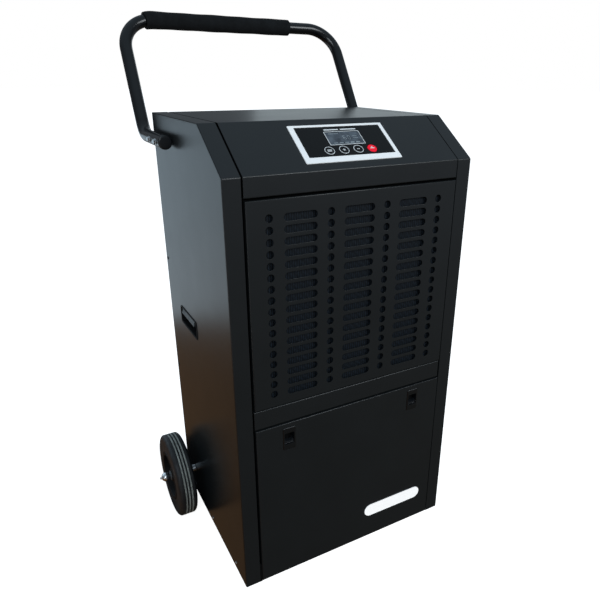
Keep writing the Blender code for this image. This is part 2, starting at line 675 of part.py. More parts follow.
def add_display(place, metal, overlay_finish, glass, button_finish, red, box_finish):
    """The control panel, in the slope's frame: a bezel, a printed overlay, a window and four buttons."""
    frame = block((-BEZEL_X, -BEZEL_Y, GAP), (BEZEL_X, BEZEL_Y, 0.0015))
    bezel = add_object("display_bezel", frame, metal, parent=place)
    opening_low = (OVERLAY_LEFT - GAP, OVERLAY_LOW - GAP, -0.01)
    cut(bezel, block(opening_low, (OVERLAY_RIGHT + GAP, OVERLAY_HIGH + GAP, 0.01)))
    plate = block((OVERLAY_LEFT, OVERLAY_LOW, -SHEET), (OVERLAY_RIGHT, OVERLAY_HIGH, 0.001))
    overlay = add_object("display_overlay", plate, overlay_finish, parent=place)
    holes = bmesh.new()
    room = 0.0004
    for centre in button_places():
        prism(holes, circle(centre, BUTTON_R + room, 16), "Z", -0.01, 0.01)
    half_w, half_h = LCD_W / 2 + room, LCD_H / 2 + room
    window = [(LCD_X + a * half_w, LCD_Y + b * half_h) for a, b in ((-1, -1), (1, -1), (1, 1), (-1, 1))]
    prism(holes, window, "Z", -0.01, 0.01)
    cut(overlay, holes)
    add_object("lcd_window", block((LCD_X - LCD_W / 2, LCD_Y - LCD_H / 2, -SHEET),
                                   (LCD_X + LCD_W / 2, LCD_Y + LCD_H / 2, 0.0006)), glass, parent=place)
    cap = [(0, -SHEET), (BUTTON_R, -SHEET), (BUTTON_R, 0.0011), (BUTTON_R - 0.0006, 0.0016), (0, 0.0016)]
    finishes = (button_finish, button_finish, button_finish, red)
    for name, centre, finish in zip(("set", "up", "down", "power"), button_places(), finishes):
        origin = (*centre, 0)
        add_object(f"button_{name}", turned(cap, origin, "Z", 16), finish, origin, place, smooth=True)
    box = block((-0.083, -0.032, -0.042), (0.083, 0.036, -0.0028))
    add_object("control_box", box, box_finish, parent=place)


# ---------------------------------------------------------------- inside

def add_open_box(name, low, high, wall, finish, origin=(0, 0, 0)):
    body, inside = dish(low, high, wall, "+Z")
    made = add_object(name, body, finish, origin)
    cut(made, inside)
    return made


def add_floors(steel, tray_finish):
    """The base pan, the deck between the two compartments, the drip tray and the bucket's shelf."""
    pan_high = (PAN_X, PAN_BACK, PAN_BASE + PAN_HEIGHT)
    add_open_box("base_pan", (-PAN_X, PAN_FRONT, PAN_BASE), pan_high, PAN_WALL, steel)
    deck_low, deck_high = (-JAMB + 0.002, PAN_FRONT, DECK_Z), (JAMB - 0.002, PAN_BACK, DECK_Z + SHEET)
    deck = add_object("mid_deck", block(deck_low, deck_high), steel)
    cut(deck, block((0.120, FRONT + 0.300, DECK_Z - 0.01), (0.190, FRONT + 0.370, DECK_Z + 0.01)))
    tray_low = (-0.195, FRONT + 0.032, DECK_Z + SHEET + GAP)
    tray_high = (0.195, FRONT + 0.140, DECK_Z + 0.030)
    add_open_box("drip_tray", tray_low, tray_high, TRAY_WALL, tray_finish)
    floor = PAN_BASE + PAN_WALL + GAP
    path = [(-SHELF_X, floor), (-SHELF_X, SHELF_TOP), (SHELF_X, SHELF_TOP), (SHELF_X, floor)]
    outline = path + offset(path, -0.002, False)[::-1]
    add_object("bucket_shelf", prism_shape(outline, "Y", BUCKET_FRONT, SHELF_BACK), steel)


def add_coils(fin_finish):
    floor = DECK_Z + SHEET + GAP + TRAY_WALL + GAP
    for name, start, depth in (("evaporator", FRONT + 0.040, 0.044), ("condenser", FRONT + 0.092, 0.038)):
        core = block((-0.185, start, floor), (0.185, start + depth, GRILLE_HIGH - 0.012))
        add_object(name, core, fin_finish)


def add_fan(steel, dark_plastic):
    """The shroud, the motor on its bracket, and the axial fan with its shaft."""
    low, high = (-0.187, SHROUD_Y, DECK_Z + SHEET + GAP), (0.187, SHROUD_Y + SHEET, GRILLE_HIGH - 0.004)
    shroud = add_object("fan_shroud", block(low, high), steel)
    outer, depth = SHROUD_R + 0.003, 0.045
    collar = [(SHROUD_R, 0), (outer, 0), (outer, depth), (SHROUD_R, depth)]
    cut(shroud, prism_shape(circle((0, FAN_Z), SHROUD_R + 0.0015, 24), "Y", SHROUD_Y - 0.01, SHROUD_Y + 0.01))
    join(shroud, turned(collar, (0, SHROUD_Y, FAN_Z), "Y", 24))
    motor_start, motor_length = FRONT + 0.222, 0.085
    motor = [(0, 0.012), (0.0055, 0.012), (0.0055, 0), (0.020, 0), (0.047, 0.006),
             (0.047, motor_length - 0.004), (0.042, motor_length), (0, motor_length)]
    add_object("fan_motor", turned(motor, (0, motor_start, FAN_Z), "Y", 20), steel, smooth=True)
    bracket_y = motor_start + motor_length + GAP
    half_x, half_z = JAMB - 0.003, 0.012
    bracket = block((-half_x, bracket_y, FAN_Z - half_z), (half_x, bracket_y + 0.003, FAN_Z + half_z))
    add_object("motor_bracket", bracket, steel)
    shaft_end = motor_start + 0.010 - FAN_Y
    hub = [(0, -0.016), (0.028, -0.014), (0.034, -0.006), (0.034, 0.018), (0.005, 0.018),
           (0.005, shaft_end), (0, shaft_end)]
    fan = add_object("fan", turned(hub, (0, FAN_Y, FAN_Z), "Y", 20), dark_plastic, (0, FAN_Y, FAN_Z))
    join(fan, fan_blades())


def fan_blades(count=5):
    """Flat pitched blades round the hub, each rooted inside it."""
    blades = bmesh.new()
    thickness = 0.0025
    for i in range(count):
        blade = block((-0.030, -thickness / 2, 0.026), (0.030, thickness / 2, FAN_R))
        for corner in blade.verts:
            if corner.co.z < 0.05:
                corner.co.x *= 0.45
        blade.transform(Matrix.Rotation(math.radians(28), 4, "Z"))
        blade.transform(Matrix.Rotation(2 * math.pi * i / count, 4, "Y"))
        blade.transform(Matrix.Translation((0, FAN_Y, FAN_Z)))
        piece = bpy.data.meshes.new("blade")
        blade.to_mesh(piece)
        blade.free()
        blades.from_mesh(piece)
        bpy.data.meshes.remove(piece)
    return blades


def add_refrigeration(black_steel, copper):
    """The compressor with its accumulator, and the two pipes that rise through the deck."""
    floor = PAN_BASE + PAN_WALL + GAP
    x, y = 0.030, FRONT + 0.308
    can = [(0, 0), (0.068, 0), (0.068, 0.012), (0.060, 0.016), (0.060, 0.205), (0.052, 0.228),
           (0.025, 0.240), (0, 0.242)]
    compressor = add_object("compressor", turned(can, (x, y, floor), "Z", 24), black_steel, smooth=True)
    bottle = [(0, 0), (0.018, 0.006), (0.023, 0.016), (0.023, 0.130), (0.016, 0.142), (0, 0.146)]
    join(compressor, turned(bottle, (x - 0.079, y, floor + 0.060), "Z", 16))
    riser_top = DECK_Z + 0.110
    bottle_x = x - 0.079
    suction_y, suction_z = y + 0.010, floor + 0.300
    suction = [(bottle_x, y, floor + 0.2065), (bottle_x, y, suction_z), (0.142, suction_y, suction_z),
               (0.142, suction_y, riser_top), (0.194, suction_y, riser_top),
               (0.194, FRONT + 0.060, riser_top)]
    discharge_y, discharge_z, discharge_top = y + 0.035, floor + 0.270, riser_top + 0.18
    discharge = [(x, y, floor + 0.2425), (x, y, discharge_z), (0.165, discharge_y, discharge_z),
                 (0.165, discharge_y, discharge_top), (0.198, discharge_y, discharge_top),
                 (0.198, FRONT + 0.110, discharge_top)]
    add_tube("suction_pipe", rounded_path(suction, (0.015,) * 4, 3), 0.005, copper)
    add_tube("discharge_pipe", rounded_path(discharge, (0.010, 0.012, 0.012, 0.012), 3), 0.004, copper)


def add_bucket(clear_plastic, steel, float_finish):
    """The condensate bucket with its carrying bail, and the float on its post."""
    low, high = (-BUCKET_X, BUCKET_FRONT, BUCKET_LOW), (BUCKET_X, BUCKET_BACK, BUCKET_HIGH)
    corner = (0, BUCKET_FRONT, BUCKET_LOW)
    bucket = add_open_box("water_bucket", low, high, BUCKET_WALL, clear_plastic, corner)
    pins = bmesh.new()
    for side in (-1, 1):
        near, far = sorted((side * BUCKET_X, side * (BUCKET_X - BUCKET_WALL)))
        join(bucket, block((near, BAIL_Y - 0.008, BUCKET_HIGH - 0.01), (far, BAIL_Y + 0.008, BAIL_Z + 0.006)))
        prism(pins, circle((BAIL_Y, BAIL_Z), BAIL_R + 0.0006, 8), "X", *sorted((side * 0.155, side * 0.175)))
    cut(bucket, pins)
    post = [(0, 0), (0.004, 0), (0.004, 0.185), (0, 0.187)]
    join(bucket, turned(post, (0, FLOAT_Y, BUCKET_LOW + 0.001), "Z", 8))
    ring = [(0.005, 0), (0.020, 0), (0.022, 0.003), (0.022, 0.019), (0.020, 0.022), (0.005, 0.022)]
    floating = turned(ring, (0, FLOAT_Y, BUCKET_LOW + BUCKET_WALL + 0.0005), "Z", 16)
    add_object("float", floating, float_finish, (0, FLOAT_Y, BUCKET_LOW), smooth=True)
    inner, outer, reach = BUCKET_X - 0.006, BUCKET_X + 0.005, BAIL_Y - BAIL_LENGTH
    path = [(-inner, BAIL_Y, BAIL_Z), (-outer, BAIL_Y, BAIL_Z), (-outer, reach, BAIL_Z),
            (outer, reach, BAIL_Z), (outer, BAIL_Y, BAIL_Z), (inner, BAIL_Y, BAIL_Z)]
    add_tube("bucket_bail", rounded_path(path, (0.0045, 0.012, 0.012, 0.0045), 3), BAIL_R, steel)


def add_rear_fittings(plastic):
    """The mains gland and the hose spigot, side by side in the rear panel."""
    z = BOTTOM + FITTING_UP
    gland = [(0.0045, -0.008), (0.010, -0.008), (0.010, 0.0021), (0.015, 0.0021), (0.015, 0.008),
             (0.011, 0.016), (0.0045, 0.016)]
    spigot = [(0.006, -0.010), (0.010, -0.010), (0.010, 0.0021), (0.016, 0.0021), (0.016, 0.006),
              (0.0085, 0.006), (0.0095, 0.018), (0.0085, 0.030), (0.006, 0.030)]
    for name, x, profile in (("cord_gland", FITTING_X, gland), ("drain_spigot", -FITTING_X, spigot)):
        centre = (x, BACK - 0.0018, z)
        shifted = [(radius, height if height > 0.0022 or height < 0 else GAP) for radius, height in profile]
        add_object(name, turned(shifted, centre, "Y", 12), plastic, smooth=True)


def main():
    clear_scene()
    paint = material("black_paint", (0.035, 0.038, 0.042), 0.45)
    steel = material("zinc_steel", (0.55, 0.56, 0.58), 0.35, 1.0)
    tube_paint = material("gloss_black_paint", (0.012, 0.013, 0.015), 0.2)
    plastic = material("black_plastic", (0.02, 0.02, 0.022), 0.5)
    foam = material("foam", (0.01, 0.011, 0.013), 0.9)
    rubber = material("rubber", (0.02, 0.02, 0.02), 0.8)
    bezel = material("bezel_metal", (0.8, 0.82, 0.84), 0.3, 1.0)
    overlay = material("overlay", (0.005, 0.005, 0.006), 0.15)
    glass = material("lcd_glass", (0.25, 0.28, 0.30), 0.1)
    red = material("red_button", (0.7, 0.02, 0.04), 0.35)
    fins = material("aluminium_fins", (0.6, 0.62, 0.64), 0.4, 1.0)
    mesh_finish = material("filter_mesh", (0.05, 0.06, 0.07), 0.7)
    clear_plastic = material("bucket_plastic", (0.6, 0.65, 0.7), 0.4)
    white_foam = material("float_foam", (0.8, 0.8, 0.78), 0.7)
    copper = material("copper", (0.7, 0.35, 0.2), 0.3, 1.0)

    place = slope_frame()
    bpy.context.view_layer.update()
    for name, side in (("left", -1), ("right", 1)):
        add_side_panel(f"{name}_side_panel", side, paint)
        add_carry_handle(name, side, plastic)
        add_wheel(name, side, rubber, plastic, steel)
        add_foot(name, side, rubber)
    add_top_cover(paint, place)
    add_rear_panel(paint)
    add_front_rail(paint)
    add_front_grille(paint)
    add_filter(plastic, mesh_finish)
    add_door(paint, plastic, steel)
    add_push_handle(tube_paint, foam, plastic, steel)
    add_display(place, bezel, overlay, glass, plastic, red, plastic)
    add_floors(steel, plastic)
    add_coils(fins)
    add_fan(steel, plastic)
    add_refrigeration(paint, copper)
    add_bucket(clear_plastic, steel, white_foam)
    add_rear_fittings(plastic)


main()
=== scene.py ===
"""The looks of a commercial dehumidifier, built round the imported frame. Metres, +Z up, the front faces -Y."""

import json
import math

import bmesh
import bpy
from mathutils import Matrix, Vector


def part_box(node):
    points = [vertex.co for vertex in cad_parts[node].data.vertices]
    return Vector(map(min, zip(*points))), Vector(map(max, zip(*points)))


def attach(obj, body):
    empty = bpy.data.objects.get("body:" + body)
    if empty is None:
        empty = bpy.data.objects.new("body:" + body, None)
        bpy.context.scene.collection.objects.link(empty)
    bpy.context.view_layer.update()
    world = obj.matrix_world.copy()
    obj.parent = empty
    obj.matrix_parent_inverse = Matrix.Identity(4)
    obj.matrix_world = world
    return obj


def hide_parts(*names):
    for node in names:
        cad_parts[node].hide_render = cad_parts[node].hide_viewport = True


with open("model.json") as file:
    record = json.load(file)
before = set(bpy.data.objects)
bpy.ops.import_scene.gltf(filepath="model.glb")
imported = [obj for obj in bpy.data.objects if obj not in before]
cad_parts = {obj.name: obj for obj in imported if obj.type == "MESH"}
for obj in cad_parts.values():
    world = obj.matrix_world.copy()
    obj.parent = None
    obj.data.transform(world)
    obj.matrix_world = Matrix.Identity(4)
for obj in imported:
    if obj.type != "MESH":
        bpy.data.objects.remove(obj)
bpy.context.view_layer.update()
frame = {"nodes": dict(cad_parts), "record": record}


def centre_of(node):
    low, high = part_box(node)
    return (low + high) / 2


SIDES = (("left", -1), ("right", 1))

# Planes of the cabinet, from the frame
panel_low, panel_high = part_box("right_side_panel")
SIDE, JAMB = panel_high.x, panel_low.x
FRONT, BACK = panel_low.y, panel_high.y
BOTTOM, TOP = panel_low.z, panel_high.z
SLOPE_DEPTH, SLOPE_HEIGHT = 0.101, 0.071
SLOPE_Z = TOP - SLOPE_HEIGHT
SHEET = 0.0012
GAP = 0.0003

# Screws: along the foot of a side, along its rear edge, and round the back
BASE_SCREWS, BASE_SCREW_UP, BASE_SCREW_R = (0.059, 0.2065, 0.3405), 0.0125, 0.0038
CASE_SCREW_R, BACK_SCREW_R, BACK_SCREW_X = 0.0035, 0.0036, 0.222

# Push handle
TUBE_R, GRIP_R = 0.0125, 0.0174
HANDLE_KNEE, HANDLE_BAR = 0.4165, 0.5425
HANDLE_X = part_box("push_handle")[1].x - TUBE_R
HANDLE_Z = centre_of("handle_cap_left").z
HANDLE_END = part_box("push_handle")[0].y
BAR_LEFT = (-0.2545, FRONT + HANDLE_BAR, BOTTOM + 1.0665)  # the bent bar is slightly askew
BAR_RIGHT = (0.2475, FRONT + HANDLE_BAR, BOTTOM + 1.0620)
LOWER_BEND, UPPER_BEND = 0.045, 0.068
GRIP_START, GRIP_END = -0.2080, 0.1295

# Back panel
OUTLET_ROWS, OUTLET_PITCH, OUTLET_X, OUTLET_LENGTH, OUTLET_HEIGHT = 14, 0.022, 0.079, 0.134, 0.011
FITTING_X, FITTING_UP, FITTING_HOLE_R = 0.150, 0.110, 0.0105

# Grille
FIRST_ROW, ROW_PITCH, ROWS = BOTTOM + 0.431, 0.020, 17
COLUMN_PITCH, SLOT_LENGTH, SLOT_HEIGHT, SLOT_DROP, HOLE_R = 0.0567, 0.0615, 0.0132, 0.0008, 0.0069

# Door: its badge, its latches' windows, and how sharply a latch's dished edge curves
BADGE_AT, BADGE_LENGTH, BADGE_HEIGHT, BADGE_RIM = (0.110, BOTTOM + 0.073), 0.148, 0.0298, 0.0006
LATCH_WINDOW, LATCH_SAG = 0.010, 42.0

# Display, in a frame whose Y runs up the slope and whose Z is its normal
SLOPE_ANGLE = math.atan2(SLOPE_HEIGHT, SLOPE_DEPTH)
DISPLAY_UP = 0.0613
BEZEL_X, BEZEL_Y = 0.094, 0.04525
OVERLAY_LEFT, OVERLAY_RIGHT, OVERLAY_LOW, OVERLAY_HIGH = -0.0837, 0.0868, -0.0327, 0.0403
LCD_X, LCD_Y, LCD_W, LCD_H = 0.003, 0.0108, 0.067, 0.0305
BUTTON_Y, BUTTON_R, BUTTON_PITCH, BUTTON_FIRST_X = -0.0187, 0.0095, 0.0283, -0.0400
RED_BUTTON_R = 0.92 * BUTTON_R
FILM = 0.001  # the height of the film's face

# Running gear, carry handles and bucket
TREAD_RIBS = (-0.0078, -0.0008, 0.0062)
LIP_END, LIP_SLOT = 0.0041, 0.017
BAIL_R = 0.0025

# Camera: its place, its heading, tilt and roll in degrees, its lens in millimetres and its shift
CAMERA_AT = (-0.5162, FRONT - 0.8038, BOTTOM + 0.9636)
CAMERA_ANGLES = (-29.22, 90 - 22.27, 0.37)
CAMERA_LENS, CAMERA_SHIFT = 33.785, (-0.0413, 0.0065)

UP = {"X": (1, 2, 0), "Y": (0, 2, 1), "Z": (0, 1, 2)}


# ---------------------------------------------------------------- materials

M = {}


def connect(tree, target, **inputs):
    """Sets or links the inputs of a node; in a name, an underscore stands for a space."""
    for name, value in inputs.items():
        socket = target.inputs[name.replace("_", " ")]
        if isinstance(value, bpy.types.NodeSocket):
            tree.links.new(value, socket)
        else:
            socket.default_value = value


def node(tree, kind, output, **inputs):
    """Adds a node with its inputs, and returns one of its outputs."""
    made = tree.nodes.new(f"ShaderNode{kind}")
    connect(tree, made, **inputs)
    return made.outputs[output]


def noise(tree, vector, scale, detail=3.0):
    return node(tree, "TexNoise", "Fac", Vector=vector, Scale=scale, Detail=detail, Roughness=0.55)


def gradient(tree, fac, stops):
    """A colour for a value, between (value, colour) stops."""
    made = node(tree, "ValToRGB", "Color", Fac=fac)
    places = made.node.color_ramp.elements
    while len(places) < len(stops):
        places.new(1.0)
    for place, (value, colour) in zip(places, stops):
        place.position = value
        place.color = (*colour, 1.0)
    return made


def remap(tree, fac, low, high, start=0.3, end=0.7):
    """Stretches the values from start to end over low to high."""
    return node(tree, "MapRange", "Result", Value=fac, From_Min=start, From_Max=end, To_Min=low, To_Max=high)


def shade(colour, factor):
    return tuple(min(1.0, value * factor) for value in colour)


def material(name, colour, roughness, metallic=0.0, spread=0.12, patch=14.0, wear=0.05, grain=700.0,
             depth=0.00004, strength=0.4, stretch=(1, 1, 1), pattern=None, dark=None, **sockets):
    """Adds to M a Principled material whose colour, roughness and relief all vary over the surface."""
    made = M[name] = bpy.data.materials.new(name)
    made.use_nodes = True
    tree = made.node_tree
    vector = node(tree, "Mapping", "Vector", Vector=node(tree, "TexCoord", "Object"), Scale=stretch)
    if pattern:
        height = pattern(tree, vector)
        colours = gradient(tree, height, ((0.2, dark or shade(colour, 0.4)), (0.8, colour)))
    else:
        height = noise(tree, vector, grain, 2.0)
        stops = ((0.35, dark or shade(colour, 1 - spread)), (0.65, shade(colour, 1 + spread)))
        colours = gradient(tree, noise(tree, vector, patch), stops)
    smudge = remap(tree, noise(tree, vector, patch * 1.7, 5.0), roughness - wear, roughness + wear)
    relief = node(tree, "Bump", "Normal", Height=height, Strength=strength, Distance=depth)
    connect(tree, tree.nodes["Principled BSDF"], Base_Color=colours, Roughness=smudge, Normal=relief,
            Metallic=metallic, **sockets)


def bands(pitch, axis, distortion=0.15):
    """A pattern of bands across one axis, a pitch apart."""
    def build(tree, vector):
        made = node(tree, "TexWave", "Fac", Vector=vector, Scale=math.pi / (10 * pitch),
                    Distortion=distortion)
        made.node.bands_direction = axis
        return made
    return build


def weave(pitch):
    """A fine mesh: upright threads, crossed by a fainter and wider slanted set."""
    def build(tree, vector):
        upright = bands(pitch, "X", 0.7)(tree, vector)
        slanted = bands(1.4 * pitch, "DIAGONAL", 0.7)(tree, vector)
        made = node(tree, "Math", "Value")
        made.node.operation = "MULTIPLY"
        tree.links.new(upright, made.node.inputs[0])
        tree.links.new(remap(tree, slanted, 0.55, 1.0, 0.0, 1.0), made.node.inputs[1])
        return made
    return build


material("black_paint", (0.0105, 0.0125, 0.0140), 0.30, spread=0.06, patch=9, wear=0.012, grain=900,
         depth=0.00003, strength=0.2, Specular_IOR_Level=0.42)
material("gloss_black_paint", (0.004, 0.005, 0.0065), 0.22, spread=0.15, patch=25, wear=0.03, grain=420,
         depth=0.00001, strength=0.1)
material("black_plastic", (0.0080, 0.0100, 0.0130), 0.42, spread=0.2, patch=40, wear=0.06, grain=1500,
         strength=0.5)
material("matte_black", (0.004, 0.0042, 0.0048), 0.6, spread=0.2, patch=40, Specular_IOR_Level=0.2)
material("shadow_black", (0.003, 0.003, 0.0033), 0.8, spread=0.2, patch=40, Specular_IOR_Level=0.1)
material("screw_black", (0.05, 0.052, 0.055), 0.35, 0.8, spread=0.2, patch=120)
material("zinc_steel", (0.62, 0.64, 0.66), 0.30, 1.0, spread=0.14, patch=60, wear=0.08, grain=500,
         depth=0.00003, strength=0.35)
material("bright_zinc", (0.80, 0.82, 0.84), 0.24, 1.0, spread=0.06, patch=60, wear=0.04, grain=500,
         depth=0.00001, strength=0.2)
# Painted shade: a darker copy of the zinc steel, for the hub washer that sits in the wheel's dish.
material("shaded_zinc", (0.20, 0.21, 0.22), 0.5, 0.8, spread=0.2, patch=80)
material("copper", (0.72, 0.36, 0.20), 0.28, 1.0, spread=0.2, patch=50, wear=0.08, grain=400, depth=0.00003)
material("aluminium_fins", (0.62, 0.64, 0.66), 0.38, 1.0, pattern=bands(0.0022, "X"), depth=0.0008,
         strength=0.8)
material("filter_mesh", (0.0125, 0.0185, 0.0270), 0.6, pattern=weave(0.0045), depth=0.0004, strength=0.6,
         dark=(0.0050, 0.0065, 0.0085), Specular_IOR_Level=0.15)
material("foam", (0.0062, 0.0072, 0.0086), 0.88, spread=0.25, patch=60, grain=1300, depth=0.0003,
         strength=0.6, Specular_IOR_Level=0.25)
material("tyre_rubber", (0.0135, 0.0150, 0.0170), 0.56, spread=0.3, patch=45, wear=0.10, grain=900,
         depth=0.00012, strength=0.5)
material("tyre_rib", (0.30, 0.32, 0.30), 0.75, spread=0.2, patch=80, wear=0.08, grain=900, depth=0.0001,
         strength=0.5)
material("foot_rubber", (0.016, 0.016, 0.017), 0.8, spread=0.25, patch=60, grain=800, depth=0.0001)
# Painted light: a faint emission makes the bezel glow, as if brightly lit.
material("bezel_metal", (0.95, 0.97, 1.0), 0.36, 0.08, spread=0.04, patch=9, wear=0.06, grain=160,
         depth=0.00002, strength=0.35, stretch=(0.4, 6, 6), Emission_Color=(0.9, 0.96, 1.0, 1.0),
         Emission_Strength=0.16)
material("overlay", (0.0022, 0.0023, 0.0026), 0.14, spread=0.1, patch=30, wear=0.04, grain=300, depth=0.00001,
         strength=0.1, Specular_IOR_Level=0.22)
material("lcd_glass", (0.085, 0.105, 0.13), 0.10, spread=0.28, patch=70, wear=0.03, grain=300, depth=0.00001,
         strength=0.1, dark=(0.035, 0.045, 0.06))
material("lcd_ink", (0.32, 0.37, 0.40), 0.4, spread=0.2, patch=120)
material("print_white", (0.85, 0.88, 0.90), 0.4, spread=0.03, patch=60)
# Painted light: a faint emission makes the red key glow, as if lit.
material("red_button", (0.86, 0.006, 0.022), 0.4, spread=0.04, patch=90, wear=0.04, grain=900, depth=0.00001,
         Specular_IOR_Level=0.2, Emission_Color=(1.0, 0.02, 0.06, 1.0), Emission_Strength=0.25)
# Painted light: an emission makes the white badge glow, as if brightly lit.
material("badge_white", (0.90, 0.90, 0.90), 0.3, spread=0.02, patch=30, wear=0.03, grain=300, depth=0.00001,
         Emission_Color=(1.0, 1.0, 1.0, 1.0), Emission_Strength=0.5)
material("badge_edge", (0.42, 0.43, 0.45), 0.3, 0.6, spread=0.1, patch=60)
material("bucket_plastic", (0.60, 0.66, 0.72), 0.35, spread=0.08, patch=12, wear=0.06, grain=400,
         depth=0.00006, Subsurface_Weight=0.15, Subsurface_Scale=0.01)
material("float_foam", (0.78, 0.77, 0.72), 0.75, spread=0.1, patch=80, grain=900, depth=0.0002)
material("floor_white", (0.86, 0.86, 0.86), 0.9, spread=0.01, patch=3, Specular_IOR_Level=0.0,
         Emission_Color=(1.0, 1.0, 1.0, 1.0), Emission_Strength=0.92)


# ---------------------------------------------------------------- mesh tools

def piece(name, shape, finish, replaced=(), body="cabinet", slot=None, side=1, edge=0.0, smooth=35.0,
          matrix=None):
    """Makes a piece from a bmesh in the row frame. Side -1 mirrors it to -X; edge rounds its sharp edges."""
    if matrix is not None:
        shape.transform(matrix)
    if side < 0:
        shape.transform(Matrix.Scale(-1, 4, (1, 0, 0)))
    bmesh.ops.recalc_face_normals(shape, faces=shape.faces)
    mesh = bpy.data.meshes.new(name)
    shape.to_mesh(mesh)
    shape.free()
    made = bpy.data.objects.new(name, mesh)
    bpy.context.scene.collection.objects.link(made)
    mesh.materials.append(M[finish])
    if edge:
        rounded = made.modifiers.new("edge", "BEVEL")
        rounded.width = edge
        rounded.segments = 2
        rounded.limit_method = "ANGLE"
        rounded.angle_limit = math.radians(40)
    mesh.shade_smooth()
    mesh.set_sharp_from_angle(angle=math.radians(smooth))
    weighted = made.modifiers.new("flats", "WEIGHTED_NORMAL")
    weighted.keep_sharp = True
    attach(made, body)
    if replaced:
        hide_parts(*replaced)
    return made


def place(axis, flat, height):
    """A point from its place across an axis and its height along it."""
    first, second = flat
    return {"X": (height, first, second), "Y": (first, height, second), "Z": (first, second, height)}[axis]


def circle(centre, radius, count, turn=0.0):
    angles = [turn + 2 * math.pi * i / count for i in range(count)]
    return [(centre[0] + radius * math.cos(a), centre[1] + radius * math.sin(a)) for a in angles]


def pill(centre, length, height, steps=8):
    """An outline with round ends, longer along its first direction."""
    radius = height / 2
    reach = length / 2 - radius
    points = []
    for side, start in ((1, -math.pi / 2), (-1, math.pi / 2)):
        for i in range(steps + 1):
            angle = start + math.pi * i / steps
            points.append((centre[0] + side * reach + radius * math.cos(angle),
                           centre[1] + radius * math.sin(angle)))
    return points


def rounded_rectangle(low, high, radius, steps=4):
    points = []
    corners = ((high[0], low[1], -0.5), (high[0], high[1], 0.0), (low[0], high[1], 0.5),
               (low[0], low[1], 1.0))
    for x, y, start in corners:
        centre = (x - radius * (1 if x == high[0] else -1), y - radius * (1 if y == high[1] else -1))
        for i in range(steps + 1):
            angle = math.pi * (start + 0.5 * i / steps)
            points.append((centre[0] + radius * math.cos(angle), centre[1] + radius * math.sin(angle)))
    return points


def offset(points, distance, closed=True):
    """A path or outline moved to its left by a distance, with mitred corners."""
    count = len(points)
    moved = []
    for i, point in enumerate(points):
        here = Vector(point)
        before = Vector(points[i - 1]) if closed or i > 0 else None
        after = Vector(points[(i + 1) % count]) if closed or i < count - 1 else None
        normals = []
        for start, end in ((before, here), (here, after)):
            if start is not None and end is not None:
                step = (end - start).normalized()
                normals.append(Vector((-step.y, step.x)))
        bisector = sum(normals, Vector((0, 0))).normalized()
        moved.append(tuple(here + bisector * (distance / bisector.dot(normals[0]))))
    return moved


def ring(shape, outline, axis, height):
    return [shape.verts.new(place(axis, point, height)) for point in outline]


def skin(shape, rings, closed=False, capped=False):
    """Faces between neighbouring rings of equal count, and over the two ends if capped."""
    pairs = list(zip(rings, rings[1:])) + ([(rings[-1], rings[0])] if closed else [])
    for lower, upper in pairs:
        count = len(lower)
        for i in range(count):
            j = (i + 1) % count
            shape.faces.new((lower[i], lower[j], upper[j], upper[i]))
    if capped:
        shape.faces.new(rings[0])
        shape.faces.new(rings[-1])


def loft(levels, axis="Z", shape=None):
    """A closed solid through (outline, height) pairs."""
    shape = shape or bmesh.new()
    skin(shape, [ring(shape, outline, axis, height) for outline, height in levels], capped=True)
    return shape


def quarter(radius, steps):
    """The (inset, depth) pairs of a rounded edge, from its rim to its full size."""
    angles = [math.pi / 2 * i / steps for i in range(steps + 1)]
    return [(radius * (1 - math.sin(angle)), radius * (1 - math.cos(angle))) for angle in angles]


def slab(outline, axis, low, high, edge, shape=None):
    """An extruded outline, anticlockwise, whose two rims are rounded."""
    rim = quarter(edge, 3)
    levels = [(offset(outline, inset), low + depth) for inset, depth in rim]
    levels += [(offset(outline, inset), high - depth) for inset, depth in rim[::-1]]
    return loft(levels, axis, shape)


def block(low, high, edge=0.0, shape=None):
    """A box with rounded edges round its top and bottom rims."""
    outline = [(low[0], low[1]), (high[0], low[1]), (high[0], high[1]), (low[0], high[1])]
    if not edge:
        return loft([(outline, low[2]), (outline, high[2])], "Z", shape)
    outline = rounded_rectangle(low[:2], high[:2], edge * 1.5, 3)
    return slab(outline, "Z", low[2], high[2], edge, shape)


def fill(shape, loops):
    """Fills the plane area between closed loops of vertices."""
    edges = []
    for loop in loops:
        for i, vertex in enumerate(loop):
            after = loop[(i + 1) % len(loop)]
            edges.append(shape.edges.get((vertex, after)) or shape.edges.new((vertex, after)))
    bmesh.ops.triangle_fill(shape, use_beauty=True, use_dissolve=False, edges=edges)


def pill_hole(centre, length, height):
    return lambda extra: pill(centre, length + 2 * extra, height + 2 * extra)


def round_hole(centre, radius, count):
    return lambda extra: circle(centre, radius + extra, count)


def pierced(shape, outer_loops, holes, axis, front, back, edge):
    """Closes a sheet between two outer loops. Each hole gives its outline for an extra size."""
    inward = edge if back > front else -edge
    fronts, backs = [outer_loops[0]], [outer_loops[1]]
    for hole in holes:
        levels = [(edge, front), (edge * 0.3, front + inward * 0.3), (0, front + inward), (0, back - inward),
                  (edge, back)]
        rings = [ring(shape, hole(extra), axis, height) for extra, height in levels]
        skin(shape, rings)
        fronts.append(rings[0])
        backs.append(rings[-1])
    fill(shape, fronts)
    fill(shape, backs)


